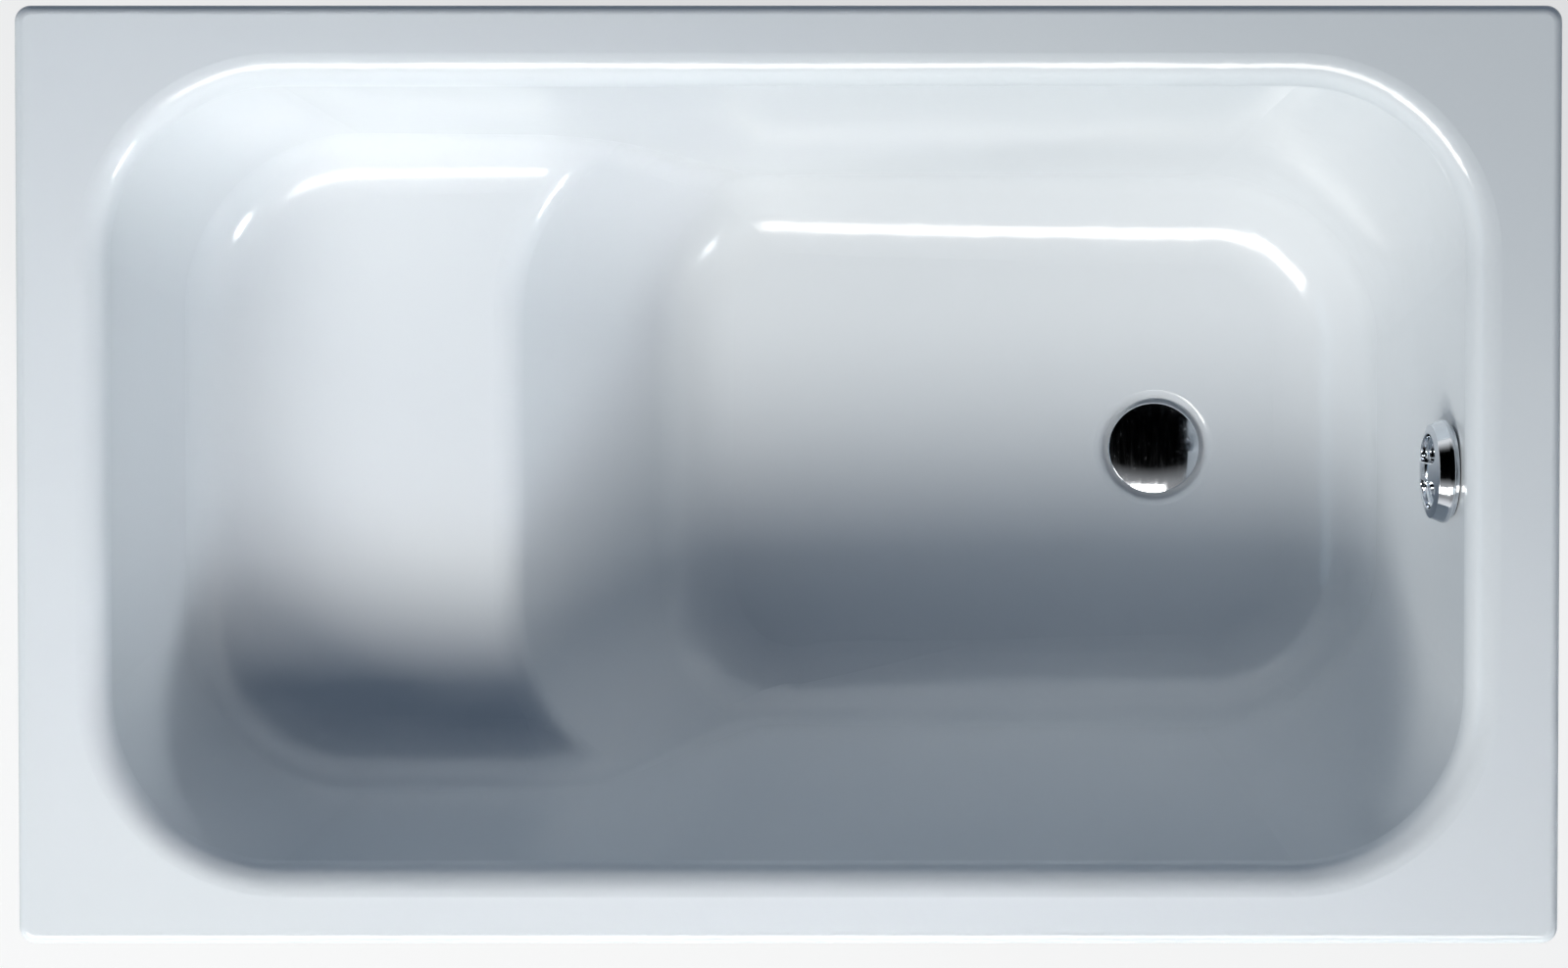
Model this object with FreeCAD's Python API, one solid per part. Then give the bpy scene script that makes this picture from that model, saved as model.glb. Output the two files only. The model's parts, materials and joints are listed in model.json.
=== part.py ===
import FreeCAD, Part
import math
import os
from FreeCAD import Matrix, Placement, Rotation, Vector

# A sit-in bathtub of enamelled steel: the pressed shell on four levelling feet, a pop-up waste with its
# trap, and an overflow whose rotary knob works the plug through a cable. Millimetres, +Z up, +X towards
# the drain end. Every piece is drawn with z = 0 at the top of the rim and lifted onto the floor at the end.

# Overall size of the tub
RIM_LENGTH = 1150.0
RIM_WIDTH = 700.0
SHEET = 2.5  # steel with its enamel

# Rim
RIM_SIDE = 35.0  # flat of the rim along the long sides
RIM_END = 44.0  # flat of the rim at the two ends
ROLL_RADIUS = 26.0  # soft edge from the rim into the bowl
SKIRT_DROP = 34.0
EDGE_BEND = 7.0  # outer edge, rim to skirt
RIM_CORNER = 12.0  # outer corner, seen from above

# Bowl
BOWL_DEPTH = 400.0  # rim to the floor at the drain
SEAT_DEPTH = 228.0  # rim to the front of the seat
SIDE_DRAFT = 12.5  # lean of the long walls, degrees
END_DRAFT = 8.0  # lean of the wall at the drain end, degrees
BACK_DRAFT = 15.0  # lean of the backrest behind the seat, degrees
BOWL_CORNER = 0.44  # radius of the upright corners at the rim, as a share of the half width there
FLOOR_CORNER = 0.68  # the same at the floor
BACK_COVE = 58.0  # round between the walls and the seat, at the backrest
NOSE_COVE = 42.0  # the same at the front of the seat
FOOT_COVE = 68.0  # round between the walls and the floor, at the riser
END_COVE = 80.0  # the same at the drain end
COVE_SHARES = (1.0, 0.95, 0.9, 0.8, 0.7)  # of these sizes, tried in turn until the round finds room
SEAT_SHARE = 0.314  # part of the length that lies behind the front edge of the seat
RISER_LEAN = 39.0  # degrees from upright
NOSE_RADIUS = 30.0
RISER_FOOT_RADIUS = 80.0  # riser into the floor
WELL_CORNER = 150.0  # upright corners between the riser and the long walls, at the seat
WELL_FOOT_CORNER = 110.0  # the same at the floor
WELL_FLARE = 20.0  # these corners, drawn on, end this far outside the walls, at the seat
WELL_FOOT_FLARE = 6.0  # the same at the floor
SEAT_FALL = 1.0  # degrees, towards the drain
FLOOR_FALL = 1.2  # degrees, towards the drain from both sides
LOW_RADIUS = 3000.0  # joins the two falls of the floor
DRAIN_INSET = 285.0  # end of the rim to the drain

# Drain dish and holes in the shell
DISH_RADIUS = 38.0
DISH_DEPTH = 6.0
DISH_HEEL = 6.0  # round at the foot of the dish
DISH_LIP = 12.0  # round at its edge
DISH_SLOPE = 45.0  # degrees
DISH_PROUD = 0.5  # the lip's tangent stands this far above the floor
SHELL_HOLE = 26.0  # radius, for drain and overflow alike
OVERFLOW_DROP = 68.0  # rim to the overflow, along the end wall

# Helper solids
REACH = 60.0  # beyond the shape that they bound
CUT = 1.0  # beyond a face that they open
HAIR = 0.01  # closer than this is the same place

# Fits
SLIP = 0.2  # radial, turning and sliding pieces
THREAD = 0.1  # radial, a screwed joint drawn without its thread
LIFT_GAP = 0.3  # lever to plug stem
END_PLAY = 0.5  # lever shaft to the end of its bearing
GASKET_STEP = 1.0  # edge of a flange to the edge of its gasket

# Waste
FLANGE_GASKET = 1.5
BODY_GASKET = 4.0
FLANGE_RADIUS = 33.5
FLANGE_PLATE = 2.0
CUP_RADIUS = 24.0
CUP_WALL = 2.0
CUP_LENGTH = 25.5
MOUTH_CHAMFER = 3.0
SPIDER_ARMS = 3
SPIDER_BAR = 3.0
SPIDER_STEP = 1.0  # end of the cup to the spider
HUB_RADIUS = 7.0
HUB_HEIGHT = 9.0
GASKET_INNER = 27.0
GASKET_OUTER = 37.0
BODY_FLANGE_RADIUS = 40.0
BODY_FLANGE = 5.5
NECK_LENGTH = 11.5
CHAMBER_RADIUS = 25.0
BODY_WALL = 3.0
CHAMBER_DROP = 52.5  # top of the waste body to the floor of its chamber
OUTLET_RADIUS = 23.5
OUTLET_BORE = 19.0
OUTLET_LENGTH = 29.0
PORT_DROP = 30.5  # top of the waste body to the axis of the overflow port
PORT_REACH = 62.0  # drain axis to the end of the port
PORT_STOP = 43.0  # drain axis to the shoulder the pipe stands on

# Plug
PLUG_RADIUS = 36.0
PLUG_EDGE = 2.4
PLUG_CROWN = 5.0
PLUG_GAP = 1.0  # flange to the edge of the closed plug
PLUG_SKIN = 1.6
PLUG_BOSS = 9.0
STEM_RADIUS = 4.0
STEM_LENGTH = 41.0
SEAL_RADIUS = 25.5
SEAL_THICKNESS = 2.2
SEAL_FLARE = 1.0
STEM_NUT_HEIGHT = 5.0
STEM_NUT_ACROSS = 13.0

# Lift lever, its box and its cover
LEVER_ARM = 18.5  # pivot to the plug stem
LEVER_THICKNESS = 5.0
LEVER_WIDTH = 8.0
LEVER_OVERHANG = 5.0
SHAFT_RADIUS = 3.0
SHAFT_BOSS = 5.0
CRANK_LENGTH = 21.0
CRANK_WIDTH = 4.0
CRANK_EYE = 4.0
BEARING_SKIN = 1.5  # closed end of the shaft's bearing
CABLE_SIDE = 33.5  # drain axis to the cable, across the tub
BOX_BACK = 36.0  # drain axis to the seat end of the box
BOX_FRONT = 10.0
BOX_WALL = 2.5
BOX_DEPTH = 9.0  # clear depth for the crank
BOX_ABOVE = 11.0  # pivot to the top of the box
BOX_BELOW = 29.0
COVER = 2.5
COVER_EDGE = 1.0

# Trap and outlet
TRAP_WASHER = 2.0
TRAP_COLLAR = 3.0
PIPE_RADIUS = 20.0
PIPE_WALL = 2.0
TRAP_LEG = 34.0  # straight run from the waste into the trap
TRAP_BEND = 42.0
TRAP_CLEAR = 8.0  # underside of the trap to the floor
TRAP_RISE = 3.0  # straight run between the trap and the bend to the outlet
OUTLET_BEND = 32.0
OUTLET_RUN = 6.0  # straight run between that bend and the socket
SOCKET_RADIUS = 24.0
SOCKET_LENGTH = 28.0
SOCKET_STOP = 6.0  # root of the socket to the end of the outlet pipe
OUTLET_PIPE_LENGTH = 97.0
OUTLET_SPIGOT = 50.0  # free end that a drain pipe's socket takes
STOP_BEAD = 3.0  # ring that ends the spigot
BEAD_RISE = 1.5
NUT_WALL = 5.0
NUT_LIP = 4.0
NUT_RIBS = 12
NUT_RUN = 4.0  # bare thread behind a tightened nut
RIB_RADIUS = 1.6
SEAL_RING = 3.0

# Overflow
OVERFLOW_GASKET = 3.0
HOUSING_FLANGE_RADIUS = 36.0
HOUSING_FLANGE = 4.0
HOUSING_RADIUS = 31.0
HOUSING_WALL = 2.5
HOUSING_DEPTH = 53.0
SPIGOT_RADIUS = 20.0
SPIGOT_END = 60.0  # overflow axis to the end of the spigot
SPIGOT_STOP = 38.0
SPIGOT_DEPTH = 31.0  # wall face to the pipe's axis
OVERFLOW_PIPE = 16.0
OVERFLOW_PIPE_WALL = 2.0
OVERFLOW_BEND = 70.0
RIB_COUNT = 15  # corrugations round the bend
BOSS_RADIUS = 5.0
BOSS_OFFSET = 15.0
BOSS_END = 38.0
SCREW_RADIUS = 2.5
SCREW_HEAD = 4.5
SCREW_HEAD_HEIGHT = 2.4
SCREW_LENGTH = 36.0
SCREW_SLOT = 1.2
FACE_SEAL = 1.0
FACE_PLATE = 2.5
FACE_RADIUS = 35.0
FACE_BAR = 13.0

# Rotary knob
KNOB_RADIUS = 39.0
KNOB_FRONT_RADIUS = 33.0
KNOB_BACK = 4.5  # wall to the back of the knob
KNOB_SHOULDER = 17.0
KNOB_CROWN = 21.5
KNOB_HOLLOW = 8.5
KNOB_WALL = 3.0
KNOB_EDGE = 1.0
KNOB_HUB = 8.0
POCKET_RADIUS = 28.0
POCKET_FLOOR = 12.5
GRIP_BAR = 14.0
POCKET_CORNER = 5.0
POCKET_EDGE = 1.0
SPINDLE_TOP = 14.0
SPINDLE_BOTTOM = 49.0
DRUM_RADIUS = 6.0
DRUM_FLANGE = 11.0
DRUM_WIDTH = 6.0

# Cable from the drum to the crank
CABLE_RADIUS = 3.0
WIRE_BORE = 2.0
FERRULE_RADIUS = 4.5
FERRULE_LENGTH = 14.0
FERRULE_STEP = 1.0  # wall of the crank box left under the ferrule
GLAND_RADIUS = 6.5
GLAND_ROOT = 2.0  # part of the gland that lies in the housing's wall
CABLE_SPLAY = 30.0  # degrees off the wall's fall line where it leaves the housing
CABLE_TOP_BEND = 50.0
CABLE_LOW_BEND = 60.0

# Foot rails, posts and levelling feet
DRAIN_RAIL_INSET = 105.0  # drain to the rail under the floor
SEAT_RAIL_INSET = 230.0  # end of the rim to the rail under the seat
RAIL_WIDTH = 40.0
RAIL_HEIGHT = 25.0
RAIL_SHEET = 2.5
RAIL_BEND = 4.0
RAIL_LENGTH = 460.0
RAIL_GAP = 5.0  # shell to rail, filled by the rubber pads
PAD_Y = 105.0
PAD_LENGTH = 60.0
BRACKET_Y = 45.0
BRACKET_WIDTH = 34.0
BRACKET_SHEET = 3.0
BRACKET_LEG = 30.0
BRACKET_DROP = 22.0
BOLT_RADIUS = 4.0
BOLT_ACROSS = 13.0
BOLT_HEAD = 5.3
BOLT_NUT = 6.5
BOLT_LENGTH = 16.0
BOLT_DROP = 13.0
POST_Y = 205.0
POST_SIDE = 25.0
POST_WALL = 2.0
POST_ROUND = 3.0
POST_FOOT = 64.0  # floor to the lower end of the posts
INSERT_FLANGE = 4.0
INSERT_PLUG = 20.0
FOOT_THREAD = 5.0
FOOT_ACROSS = 17.0
JAM_NUT = 6.0
COLLAR_BOTTOM = 22.0
COLLAR_HEIGHT = 8.0
SPINDLE_FOOT = 7.3
SPINDLE_HEAD = 116.0
FOOT_PAD_RADIUS = 26.0
FOOT_BASE = 8.0
FOOT_BOSS = 11.0
FOOT_HEIGHT = 20.0
FOOT_SOCKET = 7.0
FOOT_EDGE = 2.0

# Sound pads and earthing tab
SOUND_PAD = 3.0
FLOOR_PAD_INSET = 150.0  # drain to the pad under the floor
FLOOR_PAD_LENGTH = 185.0
FLOOR_PAD_WIDTH = 230.0
WALL_PAD_INSET = 90.0  # drain to the pads on the long walls, along the tub
WALL_PAD_LENGTH = 260.0
WALL_PAD_DROP = 130.0  # rim to the top of these pads
WALL_PAD_HEIGHT = 170.0
TAB_INSET = 155.0  # seat end of the rim to the tab
TAB_WIDTH = 25.0
TAB_OVERLAP = 14.0
TAB_DROP = 66.0
TAB_HOLE_DROP = 53.0
TAB_HOLE = 3.3
TAB_SHEET = 3.0

# Places along the tub that follow from the sizes above
DRAIN_X = RIM_LENGTH / 2 - DRAIN_INSET
NOSE_X = (SEAT_SHARE - 0.5) * RIM_LENGTH
DRAIN_RAIL_X = DRAIN_X - DRAIN_RAIL_INSET
SEAT_RAIL_X = SEAT_RAIL_INSET - RIM_LENGTH / 2
TAB_X = TAB_INSET - RIM_LENGTH / 2
SOCKET_START = 2 * TRAP_BEND + OUTLET_BEND + OUTLET_RUN  # from the drain, towards the seat
SOCKET_END = SOCKET_START + SOCKET_LENGTH

# Levels that follow from them; the waste and its trap set the height of the rim above the floor
DISH_FLOOR = -BOWL_DEPTH - DISH_DEPTH
FLANGE_BOTTOM = DISH_FLOOR + FLANGE_GASKET
FLANGE_TOP = FLANGE_BOTTOM + FLANGE_PLATE
BODY_TOP = DISH_FLOOR - SHEET - BODY_GASKET
CHAMBER_FLOOR = BODY_TOP - CHAMBER_DROP
OUTLET_TOP = CHAMBER_FLOOR - BODY_WALL
OUTLET_END = CHAMBER_FLOOR - OUTLET_LENGTH
PORT_Z = BODY_TOP - PORT_DROP
STEP_MIDDLE = -(SEAT_DEPTH + BOWL_DEPTH) / 2
TRAP_TOP = OUTLET_END - TRAP_WASHER
TRAP_LOW = TRAP_TOP - TRAP_LEG - TRAP_BEND
OUTLET_Z = TRAP_LOW + TRAP_BEND + TRAP_RISE + OUTLET_BEND
GROUND = TRAP_LOW - PIPE_RADIUS - TRAP_CLEAR
RIM_HEIGHT = -GROUND
PLUG_BOTTOM = FLANGE_TOP + PLUG_GAP
STEM_TIP = PLUG_BOTTOM - STEM_LENGTH + PLUG_EDGE
PIVOT_Z = STEM_TIP - LIFT_GAP - LEVER_THICKNESS / 2
CABLE_LOW_Z = PIVOT_Z - CRANK_LENGTH
DRUM_PLANE = SPINDLE_BOTTOM - DRUM_WIDTH / 2  # this and the next from the enamel of the end wall
HOUSING_TOP = SHEET + OVERFLOW_GASKET
GLAND_RUN = math.sqrt(HOUSING_RADIUS ** 2 - DRUM_RADIUS ** 2) - HOUSING_WALL
BEARING_END = math.sqrt((CHAMBER_RADIUS + BODY_WALL) ** 2 - LEVER_ARM ** 2) - BEARING_SKIN
UP = Vector(0, 0, 1)
ALONG = Vector(1, 0, 0)
ACROSS = Vector(0, 1, 0)


def tan(degrees):
    return math.tan(math.radians(degrees))


def cos(degrees):
    return math.cos(math.radians(degrees))


def sin(degrees):
    return math.sin(math.radians(degrees))


END_X = RIM_LENGTH / 2 - RIM_END - ROLL_RADIUS * tan(45 - END_DRAFT / 2)
BACK_X = ROLL_RADIUS * tan(45 - BACK_DRAFT / 2) + RIM_END - RIM_LENGTH / 2
HALF_Y = RIM_WIDTH / 2 - RIM_SIDE - ROLL_RADIUS * tan(45 - SIDE_DRAFT / 2)
WALL_UP = Vector(sin(END_DRAFT), 0, cos(END_DRAFT))
WALL_NORMAL = Vector(-cos(END_DRAFT), 0, sin(END_DRAFT))
OVERFLOW_POINT = Vector(END_X, 0, 0) - WALL_UP * OVERFLOW_DROP


# Plain helpers


def box(x0, x1, y0, y1, z0, z1):
    return Part.makeBox(x1 - x0, y1 - y0, z1 - z0, Vector(x0, y0, z0))


def rod(radius, z0, z1, x=0.0, y=0.0):
    return Part.makeCylinder(radius, z1 - z0, Vector(x, y, z0))


def tube(outer, inner, z0, z1):
    return rod(outer, z0, z1).cut(rod(inner, z0 - CUT, z1 + CUT))


def hexagon(across, z0, z1):
    corner = across / 2 / cos(30)
    points = [Vector(corner * cos(60 * i), corner * sin(60 * i), z0) for i in range(7)]
    return Part.Face(Part.makePolygon(points)).extrude(UP * (z1 - z0))


def rounded_path(points, radii):
    """Straight runs between the points, with a tangent arc of the given radius at each inner one."""
    edges = []
    start = points[0]
    for before, corner, after, radius in zip(points, points[1:], points[2:], radii):
        back = (before - corner).normalize()
        ahead = (after - corner).normalize()
        half = back.getAngle(ahead) / 2
        run = radius / math.tan(half)
        first = corner + back * run
        last = corner + ahead * run
        if start.distanceToPoint(first) > HAIR:
            edges.append(Part.LineSegment(start, first).toShape())
        if radius > 0:
            middle = corner + (back + ahead).normalize() * (radius / math.sin(half) - radius)
            edges.append(Part.Arc(first, middle, last).toShape())
        start = last
    if start.distanceToPoint(points[-1]) > HAIR:
        edges.append(Part.LineSegment(start, points[-1]).toShape())
    return edges


def closed_face(edges):
    """A flat face: the open run of edges is closed with a straight line."""
    first = edges[0].firstVertex(True).Point
    last = edges[-1].lastVertex(True).Point
    return Part.Face(Part.Wire(edges + [Part.LineSegment(last, first).toShape()]))


def turned(points, radii=None):
    """Turns a profile of (radius, height) points round the Z axis."""
    corners = [Vector(r, 0, z) for r, z in points]
    edges = rounded_path(corners, radii or [0.0] * (len(points) - 2))
    return closed_face(edges).revolve(Vector(0, 0, 0), UP, 360)


def swept(points, radii, radius):
    """A round bar along straight runs joined by tangent arcs."""
    path = Part.Wire(rounded_path(points, radii))
    section = Part.Wire(Part.Circle(points[0], points[1] - points[0], radius).toShape())
    return path.makePipeShell([section], True, True)


def aimed(shape, origin, axis):
    """Turns a shape made along +Z to the axis and sets it at the origin."""
    placed = shape.copy()
    placed.Placement = Placement(origin, Rotation(UP, axis)).multiply(placed.Placement)
    return placed


def moved(shape, x=0.0, y=0.0, z=0.0):
    placed = shape.copy()
    placed.translate(Vector(x, y, z))
    return placed


def at_drain(shape):
    return moved(shape, DRAIN_X)


def at_overflow(shape):
    """From the overflow's own frame (x across, y up the wall, z into the tub) to the tub's."""
    across = WALL_UP.cross(WALL_NORMAL)
    turn = Matrix(across.x, WALL_UP.x, WALL_NORMAL.x, OVERFLOW_POINT.x,
                  across.y, WALL_UP.y, WALL_NORMAL.y, OVERFLOW_POINT.y,
                  across.z, WALL_UP.z, WALL_NORMAL.z, OVERFLOW_POINT.z,
                  0, 0, 0, 1)
    placed = shape.copy()
    placed.Placement = Placement(turn).multiply(placed.Placement)
    return placed


def group(shapes):
    return Part.makeCompound(shapes)


# The pressed shell


def rounded_rectangle(x0, x1, half_y, radius, z):
    corners = [Vector(x1, half_y, z), Vector(x0, half_y, z), Vector(x0, -half_y, z), Vector(x1, -half_y, z)]
    start = Vector(x1, 0, z)
    return Part.Wire(rounded_path([start] + corners + [start], [radius] * 4))


def wall_space(grow):
    """The space between the walls."""
    def section(z):
        x0 = BACK_X - z * tan(BACK_DRAFT)
        x1 = END_X + z * tan(END_DRAFT)
        half_y = HALF_Y + z * tan(SIDE_DRAFT)
        corner = half_y * (BOWL_CORNER + (BOWL_CORNER - FLOOR_CORNER) * z / BOWL_DEPTH)
        return rounded_rectangle(x0 - grow / cos(BACK_DRAFT), x1 + grow / cos(END_DRAFT),
                                 half_y + grow / cos(SIDE_DRAFT), corner + grow, z)

    return Part.makeLoft([section(REACH / 2), section(-BOWL_DEPTH - REACH)], True, True)


def space_above(points, radii):
    """The space above a line in the XZ plane, wider than the tub."""
    edges = rounded_path(points, radii)
    upper = [points[-1], Vector(points[-1].x, 0, REACH), Vector(points[0].x, 0, REACH)]
    edges += [Part.LineSegment(a, b).toShape() for a, b in zip(upper, upper[1:])]
    return moved(closed_face(edges), y=-RIM_WIDTH).extrude(ACROSS * 2 * RIM_WIDTH)


def seat_space(grow):
    """The space above the plane of the seat."""
    point = Vector(NOSE_X, 0, -SEAT_DEPTH - grow / cos(SEAT_FALL))
    run = Vector(RIM_LENGTH, 0, -RIM_LENGTH * tan(SEAT_FALL))
    return space_above([point - run, point + run * 2], [])


def floor_space(grow):
    """The space above the floor, which falls to the drain from both sides."""
    dip = LOW_RADIUS * (1 / cos(FLOOR_FALL) - 1)
    low = Vector(DRAIN_X, 0, -BOWL_DEPTH - dip - grow / cos(FLOOR_FALL))
    rise = RIM_LENGTH * tan(FLOOR_FALL)
    return space_above([low + Vector(-RIM_LENGTH, 0, rise), low, low + Vector(RIM_LENGTH, 0, rise)],
                       [LOW_RADIUS + grow])


def step_edges(shape):
    """Edges where a face that passes the middle of the step from seat to floor meets one that doesn't."""
    def passes(face):
        return face.BoundBox.ZMin < STEP_MIDDLE < face.BoundBox.ZMax

    return [edge for edge in shape.Edges
            if len([face for face in shape.ancestorsOfType(edge, Part.Face) if passes(face)]) == 1]


def well_space(grow):
    """The space in front of the riser, a little wider than the walls, rounded along its floor."""
    def section(z):
        drop = -z - SEAT_DEPTH
        share = drop / (BOWL_DEPTH - SEAT_DEPTH)
        flare = WELL_FLARE + (WELL_FOOT_FLARE - WELL_FLARE) * share
        corner = WELL_CORNER + (WELL_FOOT_CORNER - WELL_CORNER) * share
        half_y = HALF_Y + z * tan(SIDE_DRAFT) + flare
        return rounded_rectangle(NOSE_X + drop * tan(RISER_LEAN) - grow / cos(RISER_LEAN), RIM_LENGTH,
                                 half_y + grow / cos(SIDE_DRAFT), corner + grow, z)

    well = Part.makeLoft([section(REACH / 3 - SEAT_DEPTH), section(-BOWL_DEPTH - REACH)], True, True)
    well = well.common(floor_space(grow))
    foot = [edge for edge in step_edges(well) if edge.BoundBox.ZMax < STEP_MIDDLE]
    return well.makeFillet(RISER_FOOT_RADIUS + grow, foot)


def sharp_bowl(grow):
    """The space inside the bowl, grown outwards, with a sharp line at the foot of the walls."""
    stepped = seat_space(grow).fuse(well_space(grow))
    nose = [edge for edge in step_edges(stepped) if edge.BoundBox.ZMin > STEP_MIDDLE]
    stepped = stepped.makeFillet(NOSE_RADIUS - grow, nose)
    return wall_space(grow).common(stepped)


def cove_radius(point):
    """Radius of the cove at a point of the line where the walls meet the seat, the riser and the floor."""
    riser_foot = NOSE_X + (BOWL_DEPTH - SEAT_DEPTH) * tan(RISER_LEAN) + RISER_FOOT_RADIUS / 2
    stations = [(BACK_X + SEAT_DEPTH * tan(BACK_DRAFT), BACK_COVE), (NOSE_X, NOSE_COVE),
                (riser_foot, FOOT_COVE), (END_X - BOWL_DEPTH * tan(END_DRAFT), END_COVE)]
    place = min(max(point.x, stations[0][0]), stations[-1][0])
    for (x0, first), (x1, last) in zip(stations, stations[1:]):
        if place <= x1:
            return first + (last - first) * (place - x0) / (x1 - x0)


def cove_rows(space, share, grow):
    """The edges at the foot of the walls, by number, with the radius of the cove at both of their ends."""
    rows = []
    for number, edge in enumerate(space.Edges, 1):
        faces = space.ancestorsOfType(edge, Part.Face)
        walls_beside = [face for face in faces if face.BoundBox.ZMax > 0]
        if len(walls_beside) == 1:
            ends = [edge.valueAt(edge.FirstParameter), edge.valueAt(edge.LastParameter)]
            rows.append((number, *[cove_radius(end) * share + grow for end in ends]))
    return rows


def coved(space, grow):
    """Rounds the line at the foot of the walls in one closed chain, its radius changing along the way."""
    document = FreeCAD.newDocument()
    base = document.addObject("Part::Feature", "space")
    base.Shape = space
    rounded = document.addObject("Part::Fillet", "coved")
    rounded.Base = base
    for share in COVE_SHARES:
        rounded.Edges = cove_rows(space, share, grow)
        document.recompute()
        if rounded.Shape.Solids:
            break
    solid = rounded.Shape.Solids[0].copy()
    FreeCAD.closeDocument(document.Name)
    return solid


def bowl(grow):
    """The space inside the bowl, grown outwards on every side: 0 gives the enamel, SHEET the underside."""
    return coved(sharp_bowl(grow), grow)


def backing(thickness):
    """A layer under the shell, for pieces that lie on its flat places, away from the coves."""
    return sharp_bowl(SHEET + thickness).cut(bowl(SHEET))


def with_deck(space, level, radius):
    """Joins the bowl to the space above the rim; the edge between them is rounded."""
    deck = box(-RIM_LENGTH, RIM_LENGTH, -RIM_WIDTH, RIM_WIDTH, level, REACH)
    joined = space.fuse(deck)
    lip = []
    for edge in joined.Edges:
        bounds = edge.BoundBox
        level_edge = abs(bounds.ZMin - level) < HAIR and abs(bounds.ZMax - level) < HAIR
        if level_edge and max(bounds.XMax, -bounds.XMin) < RIM_LENGTH / 2:
            lip.append(edge)
    return joined.makeFillet(radius, lip)


def rim_block(inset, bottom, top, bend):
    """A block with the rim's outline; its upper edges are rounded."""
    half_x = RIM_LENGTH / 2 - inset
    outline = rounded_rectangle(-half_x, half_x, RIM_WIDTH / 2 - inset, RIM_CORNER - inset, bottom)
    block = Part.Face(outline).extrude(UP * (top - bottom))
    upper = [edge for edge in block.Edges if edge.BoundBox.ZMin > top - HAIR]
    return block.makeFillet(bend, upper)


def dish(grow):
    """The shallow dish round the drain hole, grown like the bowl."""
    heel = DISH_RADIUS + grow * tan(DISH_SLOPE / 2)
    lip = heel + (DISH_DEPTH + DISH_PROUD) / tan(DISH_SLOPE)
    floor = DISH_FLOOR - grow
    proud = DISH_PROUD - BOWL_DEPTH - grow
    profile = [(0, floor), (heel, floor), (lip, proud), (lip + DISH_LIP, proud),
               (lip + DISH_LIP, proud + DISH_DEPTH), (0, proud + DISH_DEPTH)]
    return at_drain(turned(profile, [DISH_HEEL + grow, DISH_LIP - grow, 0, 0]))


def tub_shell():
    depth = -BOWL_DEPTH - REACH
    sheet = with_deck(bowl(SHEET), -SHEET, ROLL_RADIUS - SHEET).common(rim_block(0, depth, 0, EDGE_BEND))
    hollow = rim_block(SHEET, -SKIRT_DROP - CUT, -SHEET, EDGE_BEND - SHEET)
    skirt = rim_block(0, -SKIRT_DROP, 0, EDGE_BEND).cut(hollow)
    outside = sheet.fuse([skirt, dish(SHEET)])
    shell = outside.cut([with_deck(bowl(0), 0, ROLL_RADIUS), dish(0)])
    drain = at_drain(rod(SHELL_HOLE, DISH_FLOOR - REACH, DISH_FLOOR + REACH))
    overflow = at_overflow(rod(SHELL_HOLE, -REACH / 4, REACH / 4))
    return shell.cut([drain, overflow]).removeSplitter()


def sound_pads():
    layer = backing(SOUND_PAD)
    floor_end = DRAIN_X - FLOOR_PAD_INSET
    wall_end = DRAIN_X - WALL_PAD_INSET
    floor = box(floor_end - FLOOR_PAD_LENGTH, floor_end, -FLOOR_PAD_WIDTH / 2, FLOOR_PAD_WIDTH / 2,
                -BOWL_DEPTH - REACH, -BOWL_DEPTH + REACH)
    pads = [layer.common(floor)]
    for start, end in ((0, RIM_WIDTH / 2), (-RIM_WIDTH / 2, 0)):
        wall = box(wall_end - WALL_PAD_LENGTH, wall_end, start, end,
                   -WALL_PAD_DROP - WALL_PAD_HEIGHT, -WALL_PAD_DROP)
        pads.append(layer.common(wall))
    return group(pads)


def earthing_tab():
    outer = RIM_WIDTH / 2 - SHEET
    tab = box(TAB_X - TAB_WIDTH / 2, TAB_X + TAB_WIDTH / 2, outer - TAB_SHEET, outer,
              -TAB_DROP, -SKIRT_DROP + TAB_OVERLAP)
    hole = aimed(rod(TAB_HOLE, -REACH, REACH), Vector(TAB_X, outer, -TAB_HOLE_DROP), ACROSS)
    return tab.cut(hole)


# Foot rails


def underside(x):
    """Height of the shell's underside at the middle of the tub."""
    if x < NOSE_X:
        inner = -SEAT_DEPTH + (NOSE_X - x) * tan(SEAT_FALL)
    else:
        inner = -BOWL_DEPTH + (DRAIN_X - x) * tan(FLOOR_FALL)
    return inner - SHEET


def rail_top(x):
    return underside(x) - RAIL_GAP


def foot_rail(x):
    top = rail_top(x)
    half = RAIL_WIDTH / 2

    def channel_block(inset, radius):
        block = box(x - half + inset, x + half - inset, -RAIL_LENGTH / 2, RAIL_LENGTH / 2,
                    top - RAIL_HEIGHT, top - inset)
        middle = top - RAIL_HEIGHT / 2
        upper = [e for e in block.Edges if e.BoundBox.YLength > RAIL_WIDTH and e.BoundBox.ZMin > middle]
        return block.makeFillet(radius, upper)

    channel = channel_block(0, RAIL_BEND).cut(channel_block(RAIL_SHEET, RAIL_BEND - RAIL_SHEET))
    holes = [bolt_hole(x, y) for y in (-BRACKET_Y, BRACKET_Y)]
    return channel.cut(holes)


def bolt_hole(x, y):
    origin = Vector(x + RAIL_WIDTH / 2, y, rail_top(x) - BOLT_DROP)
    return aimed(rod(BOLT_RADIUS + SLIP, -RAIL_WIDTH / 4, RAIL_WIDTH / 4), origin, ALONG)


def on_both_rails(make, offset):
    return [make(x, side * offset) for x in (DRAIN_RAIL_X, SEAT_RAIL_X) for side in (-1, 1)]


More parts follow.
